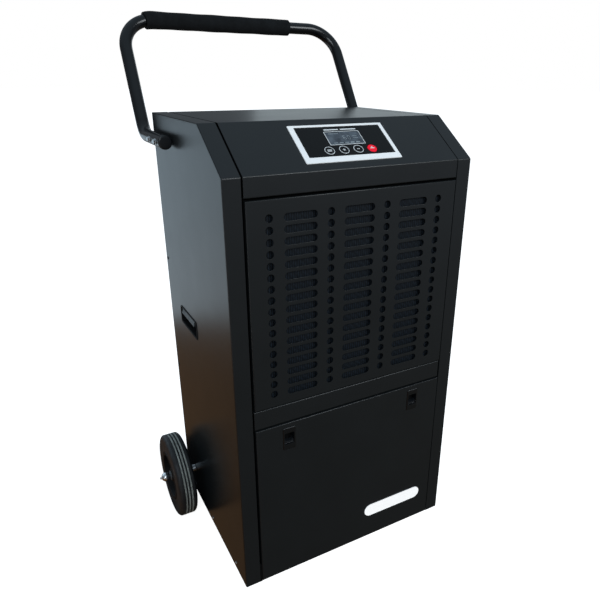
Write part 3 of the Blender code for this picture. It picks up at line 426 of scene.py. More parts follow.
def pan(outline, axis, front, depth, holes=(), radius=0.0018, inward=1):
    """A sheet whose edges are folded back through a small radius: a panel, door or side."""
    shape = bmesh.new()
    border = radius + 0.002
    levels = [(border, 0.0), *quarter(radius, 4), (0.0, depth), (SHEET, depth)]
    levels += [(SHEET + inset, SHEET + deep) for inset, deep in quarter(radius - SHEET, 4)[::-1]]
    levels.append((border, SHEET))
    rings = [ring(shape, offset(outline, inset), axis, front + inward * deep) for inset, deep in levels]
    skin(shape, rings)
    pierced(shape, (rings[0], rings[-1]), holes, axis, front, front + inward * SHEET, 0.0003)
    return shape


def sheet_outline(low, high):
    """The corners of a box's front, as (x, z) points."""
    return [(low[0], low[-1]), (high[0], low[-1]), (high[0], high[-1]), (low[0], high[-1])]


def lathe(profile, centre, axis="X", steps=64, shape=None):
    """A solid of revolution from (radius, height) points, where a radius of 0 closes it on the axis."""
    shape = shape or bmesh.new()
    first, second, along = UP[axis]
    base = (centre[first], centre[second])
    rings = []
    for radius, height in profile:
        level = centre[along] + height
        if radius == 0:
            rings.append([shape.verts.new(place(axis, base, level))])
        else:
            rings.append(ring(shape, circle(base, radius, steps), axis, level))
    closed = profile[0][0] > 0 and profile[-1][0] > 0
    pairs = list(zip(rings, rings[1:])) + ([(rings[-1], rings[0])] if closed else [])
    for lower, upper in pairs:
        for i in range(steps):
            j = (i + 1) % steps
            corners = [lower[i % len(lower)], lower[j % len(lower)], upper[j % len(upper)],
                       upper[i % len(upper)]]
            shape.faces.new(list(dict.fromkeys(corners)))
    return shape


def arc_corner(before, corner, after, radius, steps):
    before, corner, after = Vector(before), Vector(corner), Vector(after)
    inward, outward = (before - corner).normalized(), (after - corner).normalized()
    half = inward.angle(outward) / 2
    centre = corner + (inward + outward).normalized() * (radius / math.sin(half))
    start = corner + inward * (radius / math.tan(half)) - centre
    end = corner + outward * (radius / math.tan(half)) - centre
    return [centre + radius * start.slerp(end, i / steps).normalized() for i in range(steps + 1)]


def rounded_path(points, radii, steps=12):
    path = [Vector(points[0])]
    for before, corner, after, radius in zip(points, points[1:], points[2:], radii):
        path += arc_corner(before, corner, after, radius, steps) if radius else [Vector(corner)]
    return path + [Vector(points[-1])]


def tube(path, radii, sides=32, shape=None):
    """A round bar along a path, with one radius or one for each point."""
    shape = shape or bmesh.new()
    path = [Vector(point) for point in path]
    radii = [radii] * len(path) if isinstance(radii, float) else radii
    steps = [(after - before).normalized() for before, after in zip(path, path[1:])]
    directions = [steps[0], *[(a + b).normalized() for a, b in zip(steps, steps[1:])], steps[-1]]
    turns = [2 * math.pi * i / sides for i in range(sides)]
    up = steps[0].orthogonal().normalized()
    rings = []
    for point, forward, radius in zip(path, directions, radii):
        up = (up - forward * up.dot(forward)).normalized()
        across = forward.cross(up)
        rings.append([shape.verts.new(point + radius * (math.cos(a) * up + math.sin(a) * across))
                      for a in turns])
    skin(shape, rings, capped=True)
    return shape


def bent_sheet(profile, radii, stations, missing=None, thickness=SHEET, steps=5):
    """A sheet bent along a profile of (y, z) points and run along X; missing(x, y) leaves a window out."""
    flat = [Vector((0, *point)) for point in profile]
    path = [(p.y, p.z) for p in rounded_path(flat, radii, steps)]
    inner = offset(path, thickness, False)
    shape = bmesh.new()
    outer_rows = [[shape.verts.new((x, *p)) for p in path] for x in stations]
    inner_rows = [[shape.verts.new((x, *p)) for p in inner] for x in stations]
    cells = {(i, k) for i in range(len(stations) - 1) for k in range(len(path) - 1)}
    if missing:
        middles = {cell: ((stations[cell[0]] + stations[cell[0] + 1]) / 2,
                          ((path[cell[1]][0] + path[cell[1] + 1][0]) / 2)) for cell in cells}
        cells = {cell for cell in cells if not missing(*middles[cell])}
    for i, k in cells:
        for rows in (outer_rows, inner_rows):
            shape.faces.new((rows[i][k], rows[i + 1][k], rows[i + 1][k + 1], rows[i][k + 1]))
        sides = {(i - 1, k): ((i, k), (i, k + 1)), (i + 1, k): ((i + 1, k), (i + 1, k + 1)),
                 (i, k - 1): ((i, k), (i + 1, k)), (i, k + 1): ((i, k + 1), (i + 1, k + 1))}
        for neighbour, ((a, b), (c, d)) in sides.items():
            if neighbour not in cells:
                shape.faces.new((outer_rows[a][b], outer_rows[c][d], inner_rows[c][d], inner_rows[a][b]))
    return shape


def hexagon(centre, across_flats, axis, low, high, shape=None, chamfer=0.0006):
    outline = circle(centre, across_flats / math.sqrt(3), 6, math.pi / 6)
    return slab(outline, axis, low, high, chamfer, shape)


# ---------------------------------------------------------------- cabinet

def case_outline():
    """The side's outline, with its bends and its lower front corner rounded."""
    corners = [(BACK, BOTTOM), (BACK, TOP), (FRONT + SLOPE_DEPTH, TOP), (FRONT, SLOPE_Z), (FRONT, BOTTOM)]
    points = [Vector((0, *corner)) for corner in corners]
    path = rounded_path([*points, points[0]], (0, 0.0045, 0.0045, 0.0020), 4)
    return [(point.y, point.z) for point in path[:-1]]


def build_side(name, side):
    """A side panel with its lip and carry window, and the screws along its foot and its rear edge."""
    cup_low, cup_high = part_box("carry_handle_right")
    lap, lip_depth = 0.0015, 0.013

    def window(extra):
        inset = lap - extra
        return rounded_rectangle((cup_low.y + inset, cup_low.z + inset),
                                 (cup_high.y - inset, cup_high.z - inset),
                                 0.005)

    shape = pan(case_outline(), "X", SIDE, SIDE - JAMB, [window], 0.0016, -1)
    jamb = [(FRONT + 0.0006, BOTTOM + 0.0015), (FRONT + lip_depth, BOTTOM + 0.0015),
            (FRONT + lip_depth, SLOPE_Z + 0.0075), (FRONT + 0.0006, SLOPE_Z - 0.001)]
    slab(jamb, "X", JAMB + 0.0001, JAMB + SHEET, 0.0003, shape)
    piece(f"{name}_side_casing", shape, "black_paint", [f"{name}_side_panel"], side=side)
    for i, back in enumerate(BASE_SCREWS):
        point = (SIDE, FRONT + back, BOTTOM + BASE_SCREW_UP)
        build_screw(f"{name}_base_screw_{i}", point, "X", side, BASE_SCREW_R, finish="bright_zinc")
    for i, z in enumerate((TOP - 0.060, TOP - 0.300, BOTTOM + 0.330)):
        build_screw(f"{name}_rear_screw_{i}", (SIDE, BACK - 0.010, z), "X", side, CASE_SCREW_R)


def build_screw(name, point, axis, side, radius, finish="screw_black"):
    """A small pan-head screw with a cross recess, standing on a surface."""
    height = radius * 0.45
    profile = [(0, -0.0004), (radius, -0.0004), (radius, height * 0.45), (radius * 0.82, height * 0.85),
               (radius * 0.5, height), (0, height)]
    shape = lathe(profile, point, axis, 20)
    first, second, along = UP[axis]
    arm, half_width = radius * 0.5, radius * 0.12
    for spans in ((half_width, arm), (arm, half_width)):
        low, high = [0, 0, 0], [0, 0, 0]
        for index, span in zip((first, second), spans):
            low[index], high[index] = point[index] - span, point[index] + span
        low[along], high[along] = point[along] + height * 0.9, point[along] + height * 1.06
        block(low, high, 0.0, shape)
    piece(name, shape, finish, slot="zinc_steel", side=side)


def build_cover():
    """The top, slope and console strip, bent from one sheet, open under the display."""
    low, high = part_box("top_cover")
    edge_z, reach, clear = low.z - 0.0008, high.x, 0.0008
    left, right = OVERLAY_LEFT - clear, OVERLAY_RIGHT + clear
    low_y = FRONT + (DISPLAY_UP + OVERLAY_LOW - clear) * math.cos(SLOPE_ANGLE)
    high_y = FRONT + (DISPLAY_UP + OVERLAY_HIGH + clear) * math.cos(SLOPE_ANGLE)
    rise = SLOPE_HEIGHT / SLOPE_DEPTH
    stops = [(y, SLOPE_Z + (y - FRONT) * rise) for y in (high_y, low_y)]
    profile = [(BACK, TOP - 0.015), (BACK, TOP), (FRONT + SLOPE_DEPTH, TOP), *stops, (FRONT, SLOPE_Z),
               (FRONT, edge_z), (FRONT + 0.012, edge_z)]
    radii = (0.0025, 0.004, 0, 0, 0.0026, 0.002)
    shape = bent_sheet(profile, radii, [-reach, left, right, reach + 0.0018],
                       lambda x, y: left < x < right and low_y < y < high_y)
    piece("top_cover_sheet", shape, "black_paint", ["top_cover"], edge=0.0003)
    build_stops()


def build_stops():
    """Strips behind the gaps round the cover, the grille and the door, so that no light comes through. Their
    near-black finish is painted shade in the gaps, darker on the left seams than on the right.
    """
    backing = [(BACK - 0.004, TOP - 0.007), (FRONT + SLOPE_DEPTH + 0.003, TOP - 0.007),
               (FRONT + 0.011, SLOPE_Z - 0.001), (FRONT + 0.011, BOTTOM + 0.790)]
    front_y, back_y, stop_z = FRONT + 0.0160, FRONT + 0.0172, BOTTOM + 0.772
    top_stop = block((-JAMB, front_y, stop_z), (JAMB, back_y, BOTTOM + 0.797))
    piece("panel_stop_top", top_stop, "shadow_black", slot="black_paint")
    for name, side in SIDES:
        strip = bent_sheet(backing, (0, 0), [JAMB - 0.012, JAMB + 0.006])
        # Painted shade: the left strips are near-black to darken the left seams; the right ones keep the
        # cabinet paint.
        finish = "shadow_black" if side < 0 else "black_paint"
        piece(f"cover_backing_{name}", strip, finish, slot="black_paint", side=side)
        side_stop = block((JAMB - 0.014, front_y, BOTTOM + 0.045), (JAMB + 0.004, back_y, stop_z - 0.0001))
        piece(f"panel_stop_{name}", side_stop, finish, slot="black_paint", side=side)
    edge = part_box("front_door")[0].x - 0.0006
    gap_stop = block((0.0002 - JAMB, FRONT + 0.0008, BOTTOM + 0.0002),
                     (edge, FRONT + 0.0135, BOTTOM + 0.0460))
    piece("door_gap_stop", gap_stop, "shadow_black", slot="black_paint")


def build_rear():
    """The back panel with its air outlet slots, and the screws round it."""
    low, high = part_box("rear_panel")
    front, back = high.y, low.y
    holes = []
    first_z = centre_of("fan_motor").z - OUTLET_PITCH * (OUTLET_ROWS - 1) / 2
    for row in range(OUTLET_ROWS):
        for x in (-OUTLET_X, OUTLET_X):
            holes.append(pill_hole((x, first_z + OUTLET_PITCH * row), OUTLET_LENGTH, OUTLET_HEIGHT))
    for x in (-FITTING_X, FITTING_X):
        holes.append(round_hole((x, BOTTOM + FITTING_UP), FITTING_HOLE_R, 32))
    shape = bmesh.new()
    loops = [ring(shape, sheet_outline(low, high), "Y", y) for y in (front, back)]
    skin(shape, loops)
    pierced(shape, loops, holes, "Y", front, back, 0.0003)
    piece("rear_casing", shape, "black_paint", ["rear_panel"])
    for i, z in enumerate((BOTTOM + 0.020, BOTTOM + 0.300, BOTTOM + 0.580, TOP - 0.030)):
        for name, side in SIDES:
            build_screw(f"back_screw_{i}_{name}", (BACK_SCREW_X, front, z), "Y", side, BACK_SCREW_R)


def build_rail():
    low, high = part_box("front_rail")
    edge_z = low.z + 0.0016
    profile = [(high.y, edge_z), (low.y, edge_z), (low.y, high.z), (high.y, high.z)]
    shape = bent_sheet(profile, (0.0016, 0.0016), [low.x, high.x], thickness=-SHEET)
    piece("front_rail_sheet", shape, "black_paint", ["front_rail"], edge=0.0003)


def build_grille():
    """The intake panel with three columns of slots and four of round holes."""
    low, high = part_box("front_grille")
    middle, holes = (low.x + high.x) / 2, []
    for row in range(ROWS):
        for column in range(-3, 4):
            x, z = middle + column * COLUMN_PITCH, FIRST_ROW + ROW_PITCH * row
            if column % 2 == 0:
                holes.append(pill_hole((x, z - SLOT_DROP), SLOT_LENGTH, SLOT_HEIGHT))
            else:
                holes.append(round_hole((x, z), HOLE_R, 20))
    outline = sheet_outline(low, (high.x + 0.0009, high.z))
    shape = pan(outline, "Y", low.y, high.y - low.y, holes)
    piece("intake_grille", shape, "black_paint", ["front_grille"], "grille")


def build_door():
    """The lower door with its two latch windows, and a blank badge."""
    low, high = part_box("front_door")
    windows = []
    for name, _ in SIDES:
        inner_low, inner_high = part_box(f"latch_body_{name}")

        def window(extra, low=inner_low, high=inner_high):
            inset = 0.001 - extra
            return rounded_rectangle((low.x + inset, low.z + inset), (high.x - inset, high.z - inset), 0.0015)

        windows.append(window)
    outline = sheet_outline((low.x, BOTTOM + 0.0010), (high.x + 0.0008, high.z))
    shape = pan(outline, "Y", low.y, high.y - low.y, windows)
    piece("lower_door", shape, "black_paint", ["front_door"], "door")
    rim = slab(pill(BADGE_AT, BADGE_LENGTH, BADGE_HEIGHT, 12), "Y", low.y + 0.0003, low.y - 0.0006, 0.0002)
    piece("badge_rim", rim, "badge_edge", body="door", slot="bezel_metal")
    face = pill(BADGE_AT, BADGE_LENGTH - 2 * BADGE_RIM, BADGE_HEIGHT - 2 * BADGE_RIM, 12)
    plate = slab(face, "Y", low.y - 0.0003, low.y - 0.0010, 0.0003)
    piece("badge_plate", plate, "badge_white", body="door", slot="bezel_metal")


def build_latch(name):
    """A flush latch: a moulded frame round a finger window, and a slide with a dished lower edge."""
    low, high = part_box(f"latch_body_{name}")
    slide_low, slide_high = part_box(f"latch_slide_{name}")
    x, face, back, slide_z = (low.x + high.x) / 2, low.y, high.y, slide_low.z

    def outline(inset, corner):
        return rounded_rectangle((low.x + inset, low.z + inset), (high.x - inset, high.z - inset), corner)

    def window(inset):
        return rounded_rectangle((x - LATCH_WINDOW + inset, low.z + 0.012 + inset),
                                 (x + LATCH_WINDOW - inset, low.z + 0.036 - inset), 0.002)

    neck, full = outline(0.0014, 0.0015), outline(0, 0.0025)
    shape = loft([(neck, back), (neck, FRONT), (full, FRONT - GAP), (full, face + 0.0010),
                  (outline(0.0003, 0.0022), face + 0.0004), (outline(0.0010, 0.0016), face),
                  (window(-0.0006), face), (window(-0.0001), face + 0.0002), (window(0), face + 0.0007),
                  (window(0.0006), FRONT + 0.0112)], "Y")
    piece(f"latch_frame_{name}", shape, "gloss_black_paint", [f"latch_body_{name}"], body="door",
          slot="black_plastic")

    def dish(half, up):
        """A line from right to left whose middle sags: the thumb's dished edge."""
        turns = [half - 2 * half * i / 8 for i in range(9)]
        return [(x + across, slide_z + up + LATCH_SAG * across * across) for across in turns]

    line = dish(0.0088, 0.0036)
    ridge = [(across, z - 0.0010) for across, z in line[::-1]] + line
    crescent = slab(ridge, "Y", FRONT + 0.0014, FRONT + 0.0004, 0.0003)
    # Painted highlight: the ridge takes the lighter screw finish, to stand in for light caught along the dished
    # edge.
    piece(f"latch_ridge_{name}", crescent, "screw_black", body=f"latch_{name}")
    # Painted shade: the slide's back plate is near-black, for the shade deep in the latch window.
    tongue = block((x - 0.0074, FRONT + 0.0090, slide_z + 0.004), (x + 0.0074, FRONT + 0.0104, slide_high.z),
                   0.0004)
    piece(f"latch_tongue_{name}", tongue, "shadow_black", body=f"latch_{name}")
    tab = [(x - 0.0092, slide_z + 0.002), (x + 0.0092, slide_z + 0.002), *dish(0.0092, 0.0068)]
    slide = slab(tab, "Y", FRONT + 0.0105, FRONT + 0.0016, 0.0008)
    piece(f"latch_thumb_{name}", slide, "black_plastic", [f"latch_slide_{name}"], f"latch_{name}")


# ---------------------------------------------------------------- display

def framed(outer, inner, low, high, edge):
    """A flat frame between two outlines of equal count, with rounded top edges."""
    shape = bmesh.new()
    rise = ((0, low), (0, high - edge), (edge * 0.3, high - edge * 0.3), (edge, high))
    levels = [(outer(inset), height) for inset, height in rise]
    levels += [(inner(extra), height) for extra, height in rise[::-1]]
    skin(shape, [ring(shape, points, "Z", height) for points, height in levels], closed=True)
    return shape


def build_display():
    """The display's frame, film, screen and keys, made flat and then laid on the slope."""
    middle = (0, FRONT + DISPLAY_UP * math.cos(SLOPE_ANGLE), SLOPE_Z + DISPLAY_UP * math.sin(SLOPE_ANGLE))
    to_slope = Matrix.Translation(middle) @ Matrix.Rotation(SLOPE_ANGLE, 4, "X")

    def on_slope(name, shape, finish, replaced=(), **more):
        return piece(name, shape, finish, replaced, matrix=to_slope, **more)

    def box_outline(low, high, radius):
        """An outline that grows by a given amount."""
        return lambda extra: rounded_rectangle((low[0] - extra, low[1] - extra),
                                               (high[0] + extra, high[1] + extra),
                                               radius)

    bezel = box_outline((-BEZEL_X, -BEZEL_Y), (BEZEL_X, BEZEL_Y), 0.0015)
    overlay = box_outline((OVERLAY_LEFT, OVERLAY_LOW), (OVERLAY_RIGHT, OVERLAY_HIGH), 0.001)
    screen_low, screen_high = (LCD_X - LCD_W / 2, LCD_Y - LCD_H / 2), (LCD_X + LCD_W / 2, LCD_Y + LCD_H / 2)
    screen = box_outline(screen_low, screen_high, 0.0006)
    frame_shape = framed(lambda inset: bezel(-inset), overlay, 0.0001, 0.0015, 0.0004)
    on_slope("display_frame", frame_shape, "bezel_metal", ["display_bezel"])
    shape = bmesh.new()
    loops = [ring(shape, overlay(-0.0002), "Z", height) for height in (FILM, -SHEET)]
    skin(shape, loops)
    holes = [lambda extra, i=i: circle((BUTTON_FIRST_X + i * BUTTON_PITCH, BUTTON_Y),
                                       BUTTON_R + 0.0003 + extra, 40)
             for i in range(4)]
    holes.append(lambda extra: screen(0.0002 + extra))
    pierced(shape, loops, holes, "Z", FILM, -SHEET, 0.0002)
    on_slope("display_film", shape, "overlay", ["display_overlay"])
    pane = slab(rounded_rectangle(screen_low, screen_high, 0.0005), "Z", -SHEET, 0.0006, 0.0002)
    on_slope("lcd_pane", pane, "lcd_glass", ["lcd_window"])
    print_low, print_high = FILM - 0.0001, FILM + 0.00012
    border = framed(lambda inset: screen(0.0016 - inset), lambda extra: screen(0.0004 + extra), print_low,
                    print_high, 0.0001)
    on_slope("lcd_border", border, "print_white", slot="overlay")
    rule = bmesh.new()
    for left, right in ((-0.0320, -0.0035), (0.0005, 0.0320)):
        block((LCD_X + left, screen_high[1] + 0.0046, print_low),
              (LCD_X + right, screen_high[1] + 0.0074, print_high),
              0.0, rule)
    on_slope("display_rule", rule, "print_white", slot="overlay")
    build_lcd_marks(on_slope)
    build_buttons(on_slope)


def build_lcd_marks(on_slope):
    """Generic marks on the screen: two digits, a level bar and a status line."""
    shape = bmesh.new()

    def bar(x, y, width, height):
        x, y = LCD_X + x, LCD_Y + y
        block((x - width / 2, y - height / 2, 0.00055), (x + width / 2, y + height / 2, 0.00066), 0.0, shape)

    segments = {"a": (0, 1), "b": (1, 0.5), "c": (1, -0.5), "d": (0, -1), "e": (-1, -0.5), "f": (-1, 0.5),
                "g": (0, 0)}
    for x, lit in ((0.0005, "acdefg"), (0.0090, "abcdef")):
        for letter in lit:
            across, up = segments[letter]
            size = (0.0007, 0.0036) if abs(up) == 0.5 else (0.0036, 0.0007)
            bar(x + across * 0.0023, 0.001 + up * 0.0044, *size)
    for i in range(5):
        bar(0.011 * (i - 2), -0.0115, 0.0075, 0.0012 + 0.0004 * i)
    bar(-0.018, 0.0115, 0.020, 0.0009)
    bar(0.022, 0.004, 0.009, 0.0007)
    bar(0.022, -0.001, 0.009, 0.0007)
    on_slope("lcd_marks", shape, "lcd_ink", slot="lcd_glass")


def build_buttons(on_slope):
    """Round membrane buttons with generic symbols: three black with a light ring, and a smaller red one."""
    thin, low, high = 0.0006, 0.0014, 0.0016
    strokes = {  # half widths and half heights of the bars of each symbol, and how far up they sit
        "set": ((0.0042, thin, 0), (0.0042, 0.0005, -0.0019), (0.0042, 0.0005, 0.0019)),
        "up": ((0.0026, thin, 0), (thin, 0.0026, 0)),
        "down": ((0.0026, thin, 0),),
        "power": ((0.0042, 0.0010, 0), (0.0010, 0.0016, 0.0026)),
    }
    for i, (name, bars) in enumerate(strokes.items()):
        x, y = BUTTON_FIRST_X + i * BUTTON_PITCH, BUTTON_Y
        red = name == "power"
        radius = RED_BUTTON_R if red else BUTTON_R
        cap = [(0, -SHEET), (radius, -SHEET), (radius, 0.0008), (radius - 0.0003, 0.0012),
               (radius - 0.0012, 0.00145), (radius * 0.5, 0.0015), (0, 0.0015)]
        on_slope(f"key_{name}", lathe(cap, (x, y, 0), "Z", 48), "red_button" if red else "overlay",
                 [f"button_{name}"], body=f"button_{name}", slot="red_button" if red else "black_plastic")
        shape = bmesh.new()
        if not red:
            outer, inner = radius - 0.0003, radius - 0.0013
            lathe([(inner, 0.0013), (outer, 0.0013), (outer, 0.00156), (inner, 0.00158)], (x, y, 0), "Z", 48,
                  shape)
        for half_x, half_y, up in bars:
            block((x - half_x, y + up - half_y, low), (x + half_x, y + up + half_y, high), 0.0, shape)
        on_slope(f"key_print_{name}", shape, "print_white", body=f"button_{name}")


# ---------------------------------------------------------------- push handle

def build_push_handle():
    """The bent tube with its foam grip, end caps and clamp bolts."""
    legs = (HANDLE_END, FRONT + HANDLE_KNEE)
    left = [Vector((-HANDLE_X, y, HANDLE_Z)) for y in legs]
    right = [Vector((HANDLE_X, y, HANDLE_Z)) for y in reversed(legs)]
    corners = [*left, Vector(BAR_LEFT), Vector(BAR_RIGHT), *right]
    path = rounded_path(corners, (LOWER_BEND, UPPER_BEND, UPPER_BEND, LOWER_BEND), 20)
    piece("handle_tube", tube(path, TUBE_R, 40), "gloss_black_paint", ["push_handle"], smooth=50)
    build_grip(left[1])
    cap = [(0, -0.0042), (0.0098, -0.0041), (0.0118, -0.0036), (0.0128, -0.0026), (0.0130, -0.0015),
           (0.0130, -0.0003), (0.0105, -0.0003), (0.0105, 0.008), (0, 0.008)]
    for name, side in SIDES:
        shape = lathe(cap, (HANDLE_X, HANDLE_END, HANDLE_Z), "Y", 48)
        piece(f"tube_cap_{name}", shape, "black_plastic", [f"handle_cap_{name}"], side=side)
        for spot in ("front", "rear"):
            build_handle_bolt(f"handle_bolt_{name}_{spot}", side)


def build_handle_bolt(node, side):
    """A bolt head on a dished washer outside the tube, and the spacer between the tube and the cabinet."""
    y, z = centre_of(node).yz
    head = HANDLE_X + TUBE_R
    washer = [(0, -0.0016), (0.0052, -0.0012), (0.0056, -0.0002), (0.0056, 0.0006), (0.0050, 0.0009),
              (0, 0.0009)]
    shape = lathe(washer, (head, y, z), "X", 40)
    hexagon((y, z), 0.0080, "X", head + 0.0008, head + 0.0042, shape)
    length = HANDLE_X - TUBE_R - SIDE + 0.001
    lathe([(0, 0), (0.0065, 0), (0.0065, length), (0, length)], (SIDE, y, z), "X", 24, shape)
    piece(f"clamp_{node.removeprefix('handle_')}", shape, "zinc_steel", [node], side=side)


def build_grip(leg):
    """The foam sleeve, slightly uneven as pushed on by hand, with soft rounded ends."""
    left, right = Vector(BAR_LEFT), Vector(BAR_RIGHT)
    start = [point for point in arc_corner(leg, left, right, UPPER_BEND, 24) if point.x > GRIP_START]
    end = left.lerp(right, (GRIP_END - left.x) / (right.x - left.x))
    path = start + [start[-1].lerp(end, i / 60) for i in range(1, 61)]
    lengths = [0.0]
    for before, after in zip(path, path[1:]):
        lengths.append(lengths[-1] + (after - before).length)
    radii = []
    for distance in lengths:
        along = min(distance, lengths[-1] - distance)
        ripple = 0.00025 * math.sin(distance * 95) + 0.00018 * math.sin(distance * 41 + 1.3)
        radii.append(GRIP_R - 0.0002 + ripple - 0.0004 * math.exp(-along / 0.004))
    back, on = (path[0] - path[1]).normalized(), (path[-1] - path[-2]).normalized()
    tip, shoulder = 0.0012, 0.0009
    path = [path[0] + back * tip, path[0] + back * shoulder, *path, path[-1] + on * shoulder,
            path[-1] + on * tip]
    radii = [TUBE_R - 0.002, TUBE_R + 0.0035, *radii, TUBE_R + 0.0035, TUBE_R - 0.002]
    grip = piece("foam_grip", tube(path, radii, 48), "foam", ["handle_grip"], smooth=70)


# ---------------------------------------------------------------- running gear

def build_wheel(name, side):
    """A deep-dished rim with short ribs in the dish, its tyre, its axle and its nut."""
    low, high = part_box("wheel_tyre_right")
    rim_low, rim_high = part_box("wheel_rim_right")
    inner, outer, rim_r = low.x, high.x, (rim_high.z - rim_low.z) / 2
    centre = (0, *centre_of("wheel_tyre_right").yz)
    build_tyre(name, side, centre, inner, outer, (high.z - low.z) / 2, rim_r)
    hub_out, hub_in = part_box("axle_nut_right")[0].x - 0.0012, inner + 0.0005

    def dish(plane, inward):
        """The profile from the rim down to the hub, on one side of the disc."""
        return [(rim_r, plane + 0.002 * inward), (rim_r - 0.001, plane), (0.0500, plane),
                (0.0488, plane + 0.0012 * inward), (0.0465, plane + 0.0150 * inward),
                (0.0420, plane + 0.0168 * inward), (0.0205, plane + 0.0160 * inward),
                (0.0172, plane + 0.0140 * inward)]

    back = [*dish(inner, 1), (0.0165, inner + 0.0020), (0.0150, hub_in), (0.0068, hub_in)]
    face = [*dish(outer, -1), (0.0165, hub_out - 0.0015), (0.0150, hub_out), (0.0068, hub_out)]
    shape = lathe(back[::-1] + face, centre, "X", 72)
    for i in range(8):
        rib = block((outer - 0.0168, -0.0015, 0.0165), (outer - 0.0135, 0.0015, 0.0465))
        rib.transform(Matrix.Translation(centre) @ Matrix.Rotation(2 * math.pi * i / 8, 4, "X"))
        spare = bpy.data.meshes.new("rib")
        rib.to_mesh(spare)
        rib.free()
        shape.from_mesh(spare)
        bpy.data.meshes.remove(spare)
    piece(f"rim_{name}", shape, "matte_black", [f"wheel_rim_{name}"], f"wheel_{name}", side=side)
    build_axle(name, side, centre, inner)


def build_tyre(name, side, centre, inner, outer, radius, rim_r):
    """A solid tyre: low bulging sidewalls, and a wide tread with three lighter ribs between grooves."""
    middle, half = (inner + outer) / 2, (outer - inner) / 2
    wall = [(rim_r + 0.0002, 0.0185), (rim_r + 0.0006, 0.0198), (rim_r + 0.0030, 0.0204),
            (rim_r + 0.0060, 0.0202), (rim_r + 0.0085, 0.0196), (rim_r + 0.0140, 0.0200),
            (rim_r + 0.0220, half), (radius - 0.0125, half), (radius - 0.0085, 0.0201),
            (radius - 0.0052, 0.0191), (radius - 0.0028, 0.0176), (radius - 0.0012, 0.0158),
            (radius - 0.0004, 0.0140)]
    rib_half, groove, crown = 0.0016, radius - 0.0020, radius - 0.0004
    tread = []
    for spot in TREAD_RIBS:
        tread += [(crown, spot - rib_half - 0.0014), (groove, spot - rib_half - 0.0008),
                  (groove, spot + rib_half + 0.0008), (crown, spot + rib_half + 0.0014)]
    profile = [(r, middle - h) for r, h in wall] + [(r, middle + h) for r, h in tread + wall[::-1]]
    shape = lathe(profile, centre, "X", 112)
    piece(f"tyre_{name}", shape, "tyre_rubber", [f"wheel_tyre_{name}"], f"wheel_{name}", side=side, smooth=40)
    for i, spot in enumerate(TREAD_RIBS):
        low, high = middle + spot - rib_half, middle + spot + rib_half
        band = [(groove - 0.0004, low), (radius - 0.0005, low), (radius - 0.0001, low + 0.0006),
                (radius - 0.0001, high - 0.0006), (radius - 0.0005, high), (groove - 0.0004, high)]
        piece(f"tread_rib_{name}_{i}", lathe(band, centre, "X", 112), "tyre_rib", body=f"wheel_{name}",
              slot="tyre_rubber", side=side, smooth=40)


def build_axle(name, side, centre, inner):
    """The axle stub with its collar against the cabinet, and a domed cap nut outside the hub."""
    nut_x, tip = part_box("axle_nut_right")[0].x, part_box("axle_right")[1].x
    inside, outside = SIDE - 0.02, nut_x + 0.001
    shape = lathe([(0, inside), (0.006, inside), (0.006, outside), (0, outside)], centre, "X", 32)
    lathe([(0.0062, SIDE + 0.0003), (0.0082, SIDE + 0.0003), (0.0084, SIDE + 0.0010),
           (0.0084, inner - 0.0012),
           (0.0082, inner - 0.0006), (0.0062, inner - 0.0006)], centre, "X", 40, shape)
    piece(f"axle_bar_{name}", shape, "zinc_steel", [f"axle_{name}"], side=side)
    washer = lathe([(0.0063, nut_x + 0.0001), (0.0112, nut_x + 0.0001), (0.0114, nut_x + 0.0010),
                    (0.0110, nut_x + 0.0017), (0.0063, nut_x + 0.0017)], centre, "X", 48)
    hexagon(centre[1:], 0.0150, "X", nut_x + 0.0017, nut_x + 0.0045, washer)
    # Painted shade: the hub washer takes the darker copy of the zinc.
    piece(f"hub_washer_{name}", washer, "shaded_zinc", slot="zinc_steel", side=side)
    turns = [math.radians(angle) for angle in range(-15, 76, 9)]
    ball = [(0.0108 * math.cos(turn), nut_x + 0.0124 + 0.0100 * math.sin(turn)) for turn in turns]
    dome = [(0, nut_x + 0.0046), (0.0096, nut_x + 0.0046), (0.0104, nut_x + 0.0062), *ball,
            (0.0026, tip - 0.0010), (0.0018, tip - 0.0003), (0, tip - 0.0002)]
    piece(f"hub_nut_{name}", lathe(dome, centre, "X", 48), "bright_zinc", [f"axle_nut_{name}"],
          slot="zinc_steel", side=side)


def build_foot(name, side):
    middle, height = centre_of("foot_right"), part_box("foot_right")[1].z
    profile = [(0, 0), (0.0140, 0), (0.0150, 0.0008), (0.0178, 0.0035), (0.0180, 0.0050), (0.0170, 0.0070),
               (0.0162, 0.0150), (0.0165, 0.0165), (0.0165, 0.0190), (0.0155, height), (0, height)]
    shape = lathe(profile, (middle.x, middle.y, 0), "Z", 48)
    piece(f"rubber_foot_{name}", shape, "foot_rubber", [f"foot_{name}"], side=side)


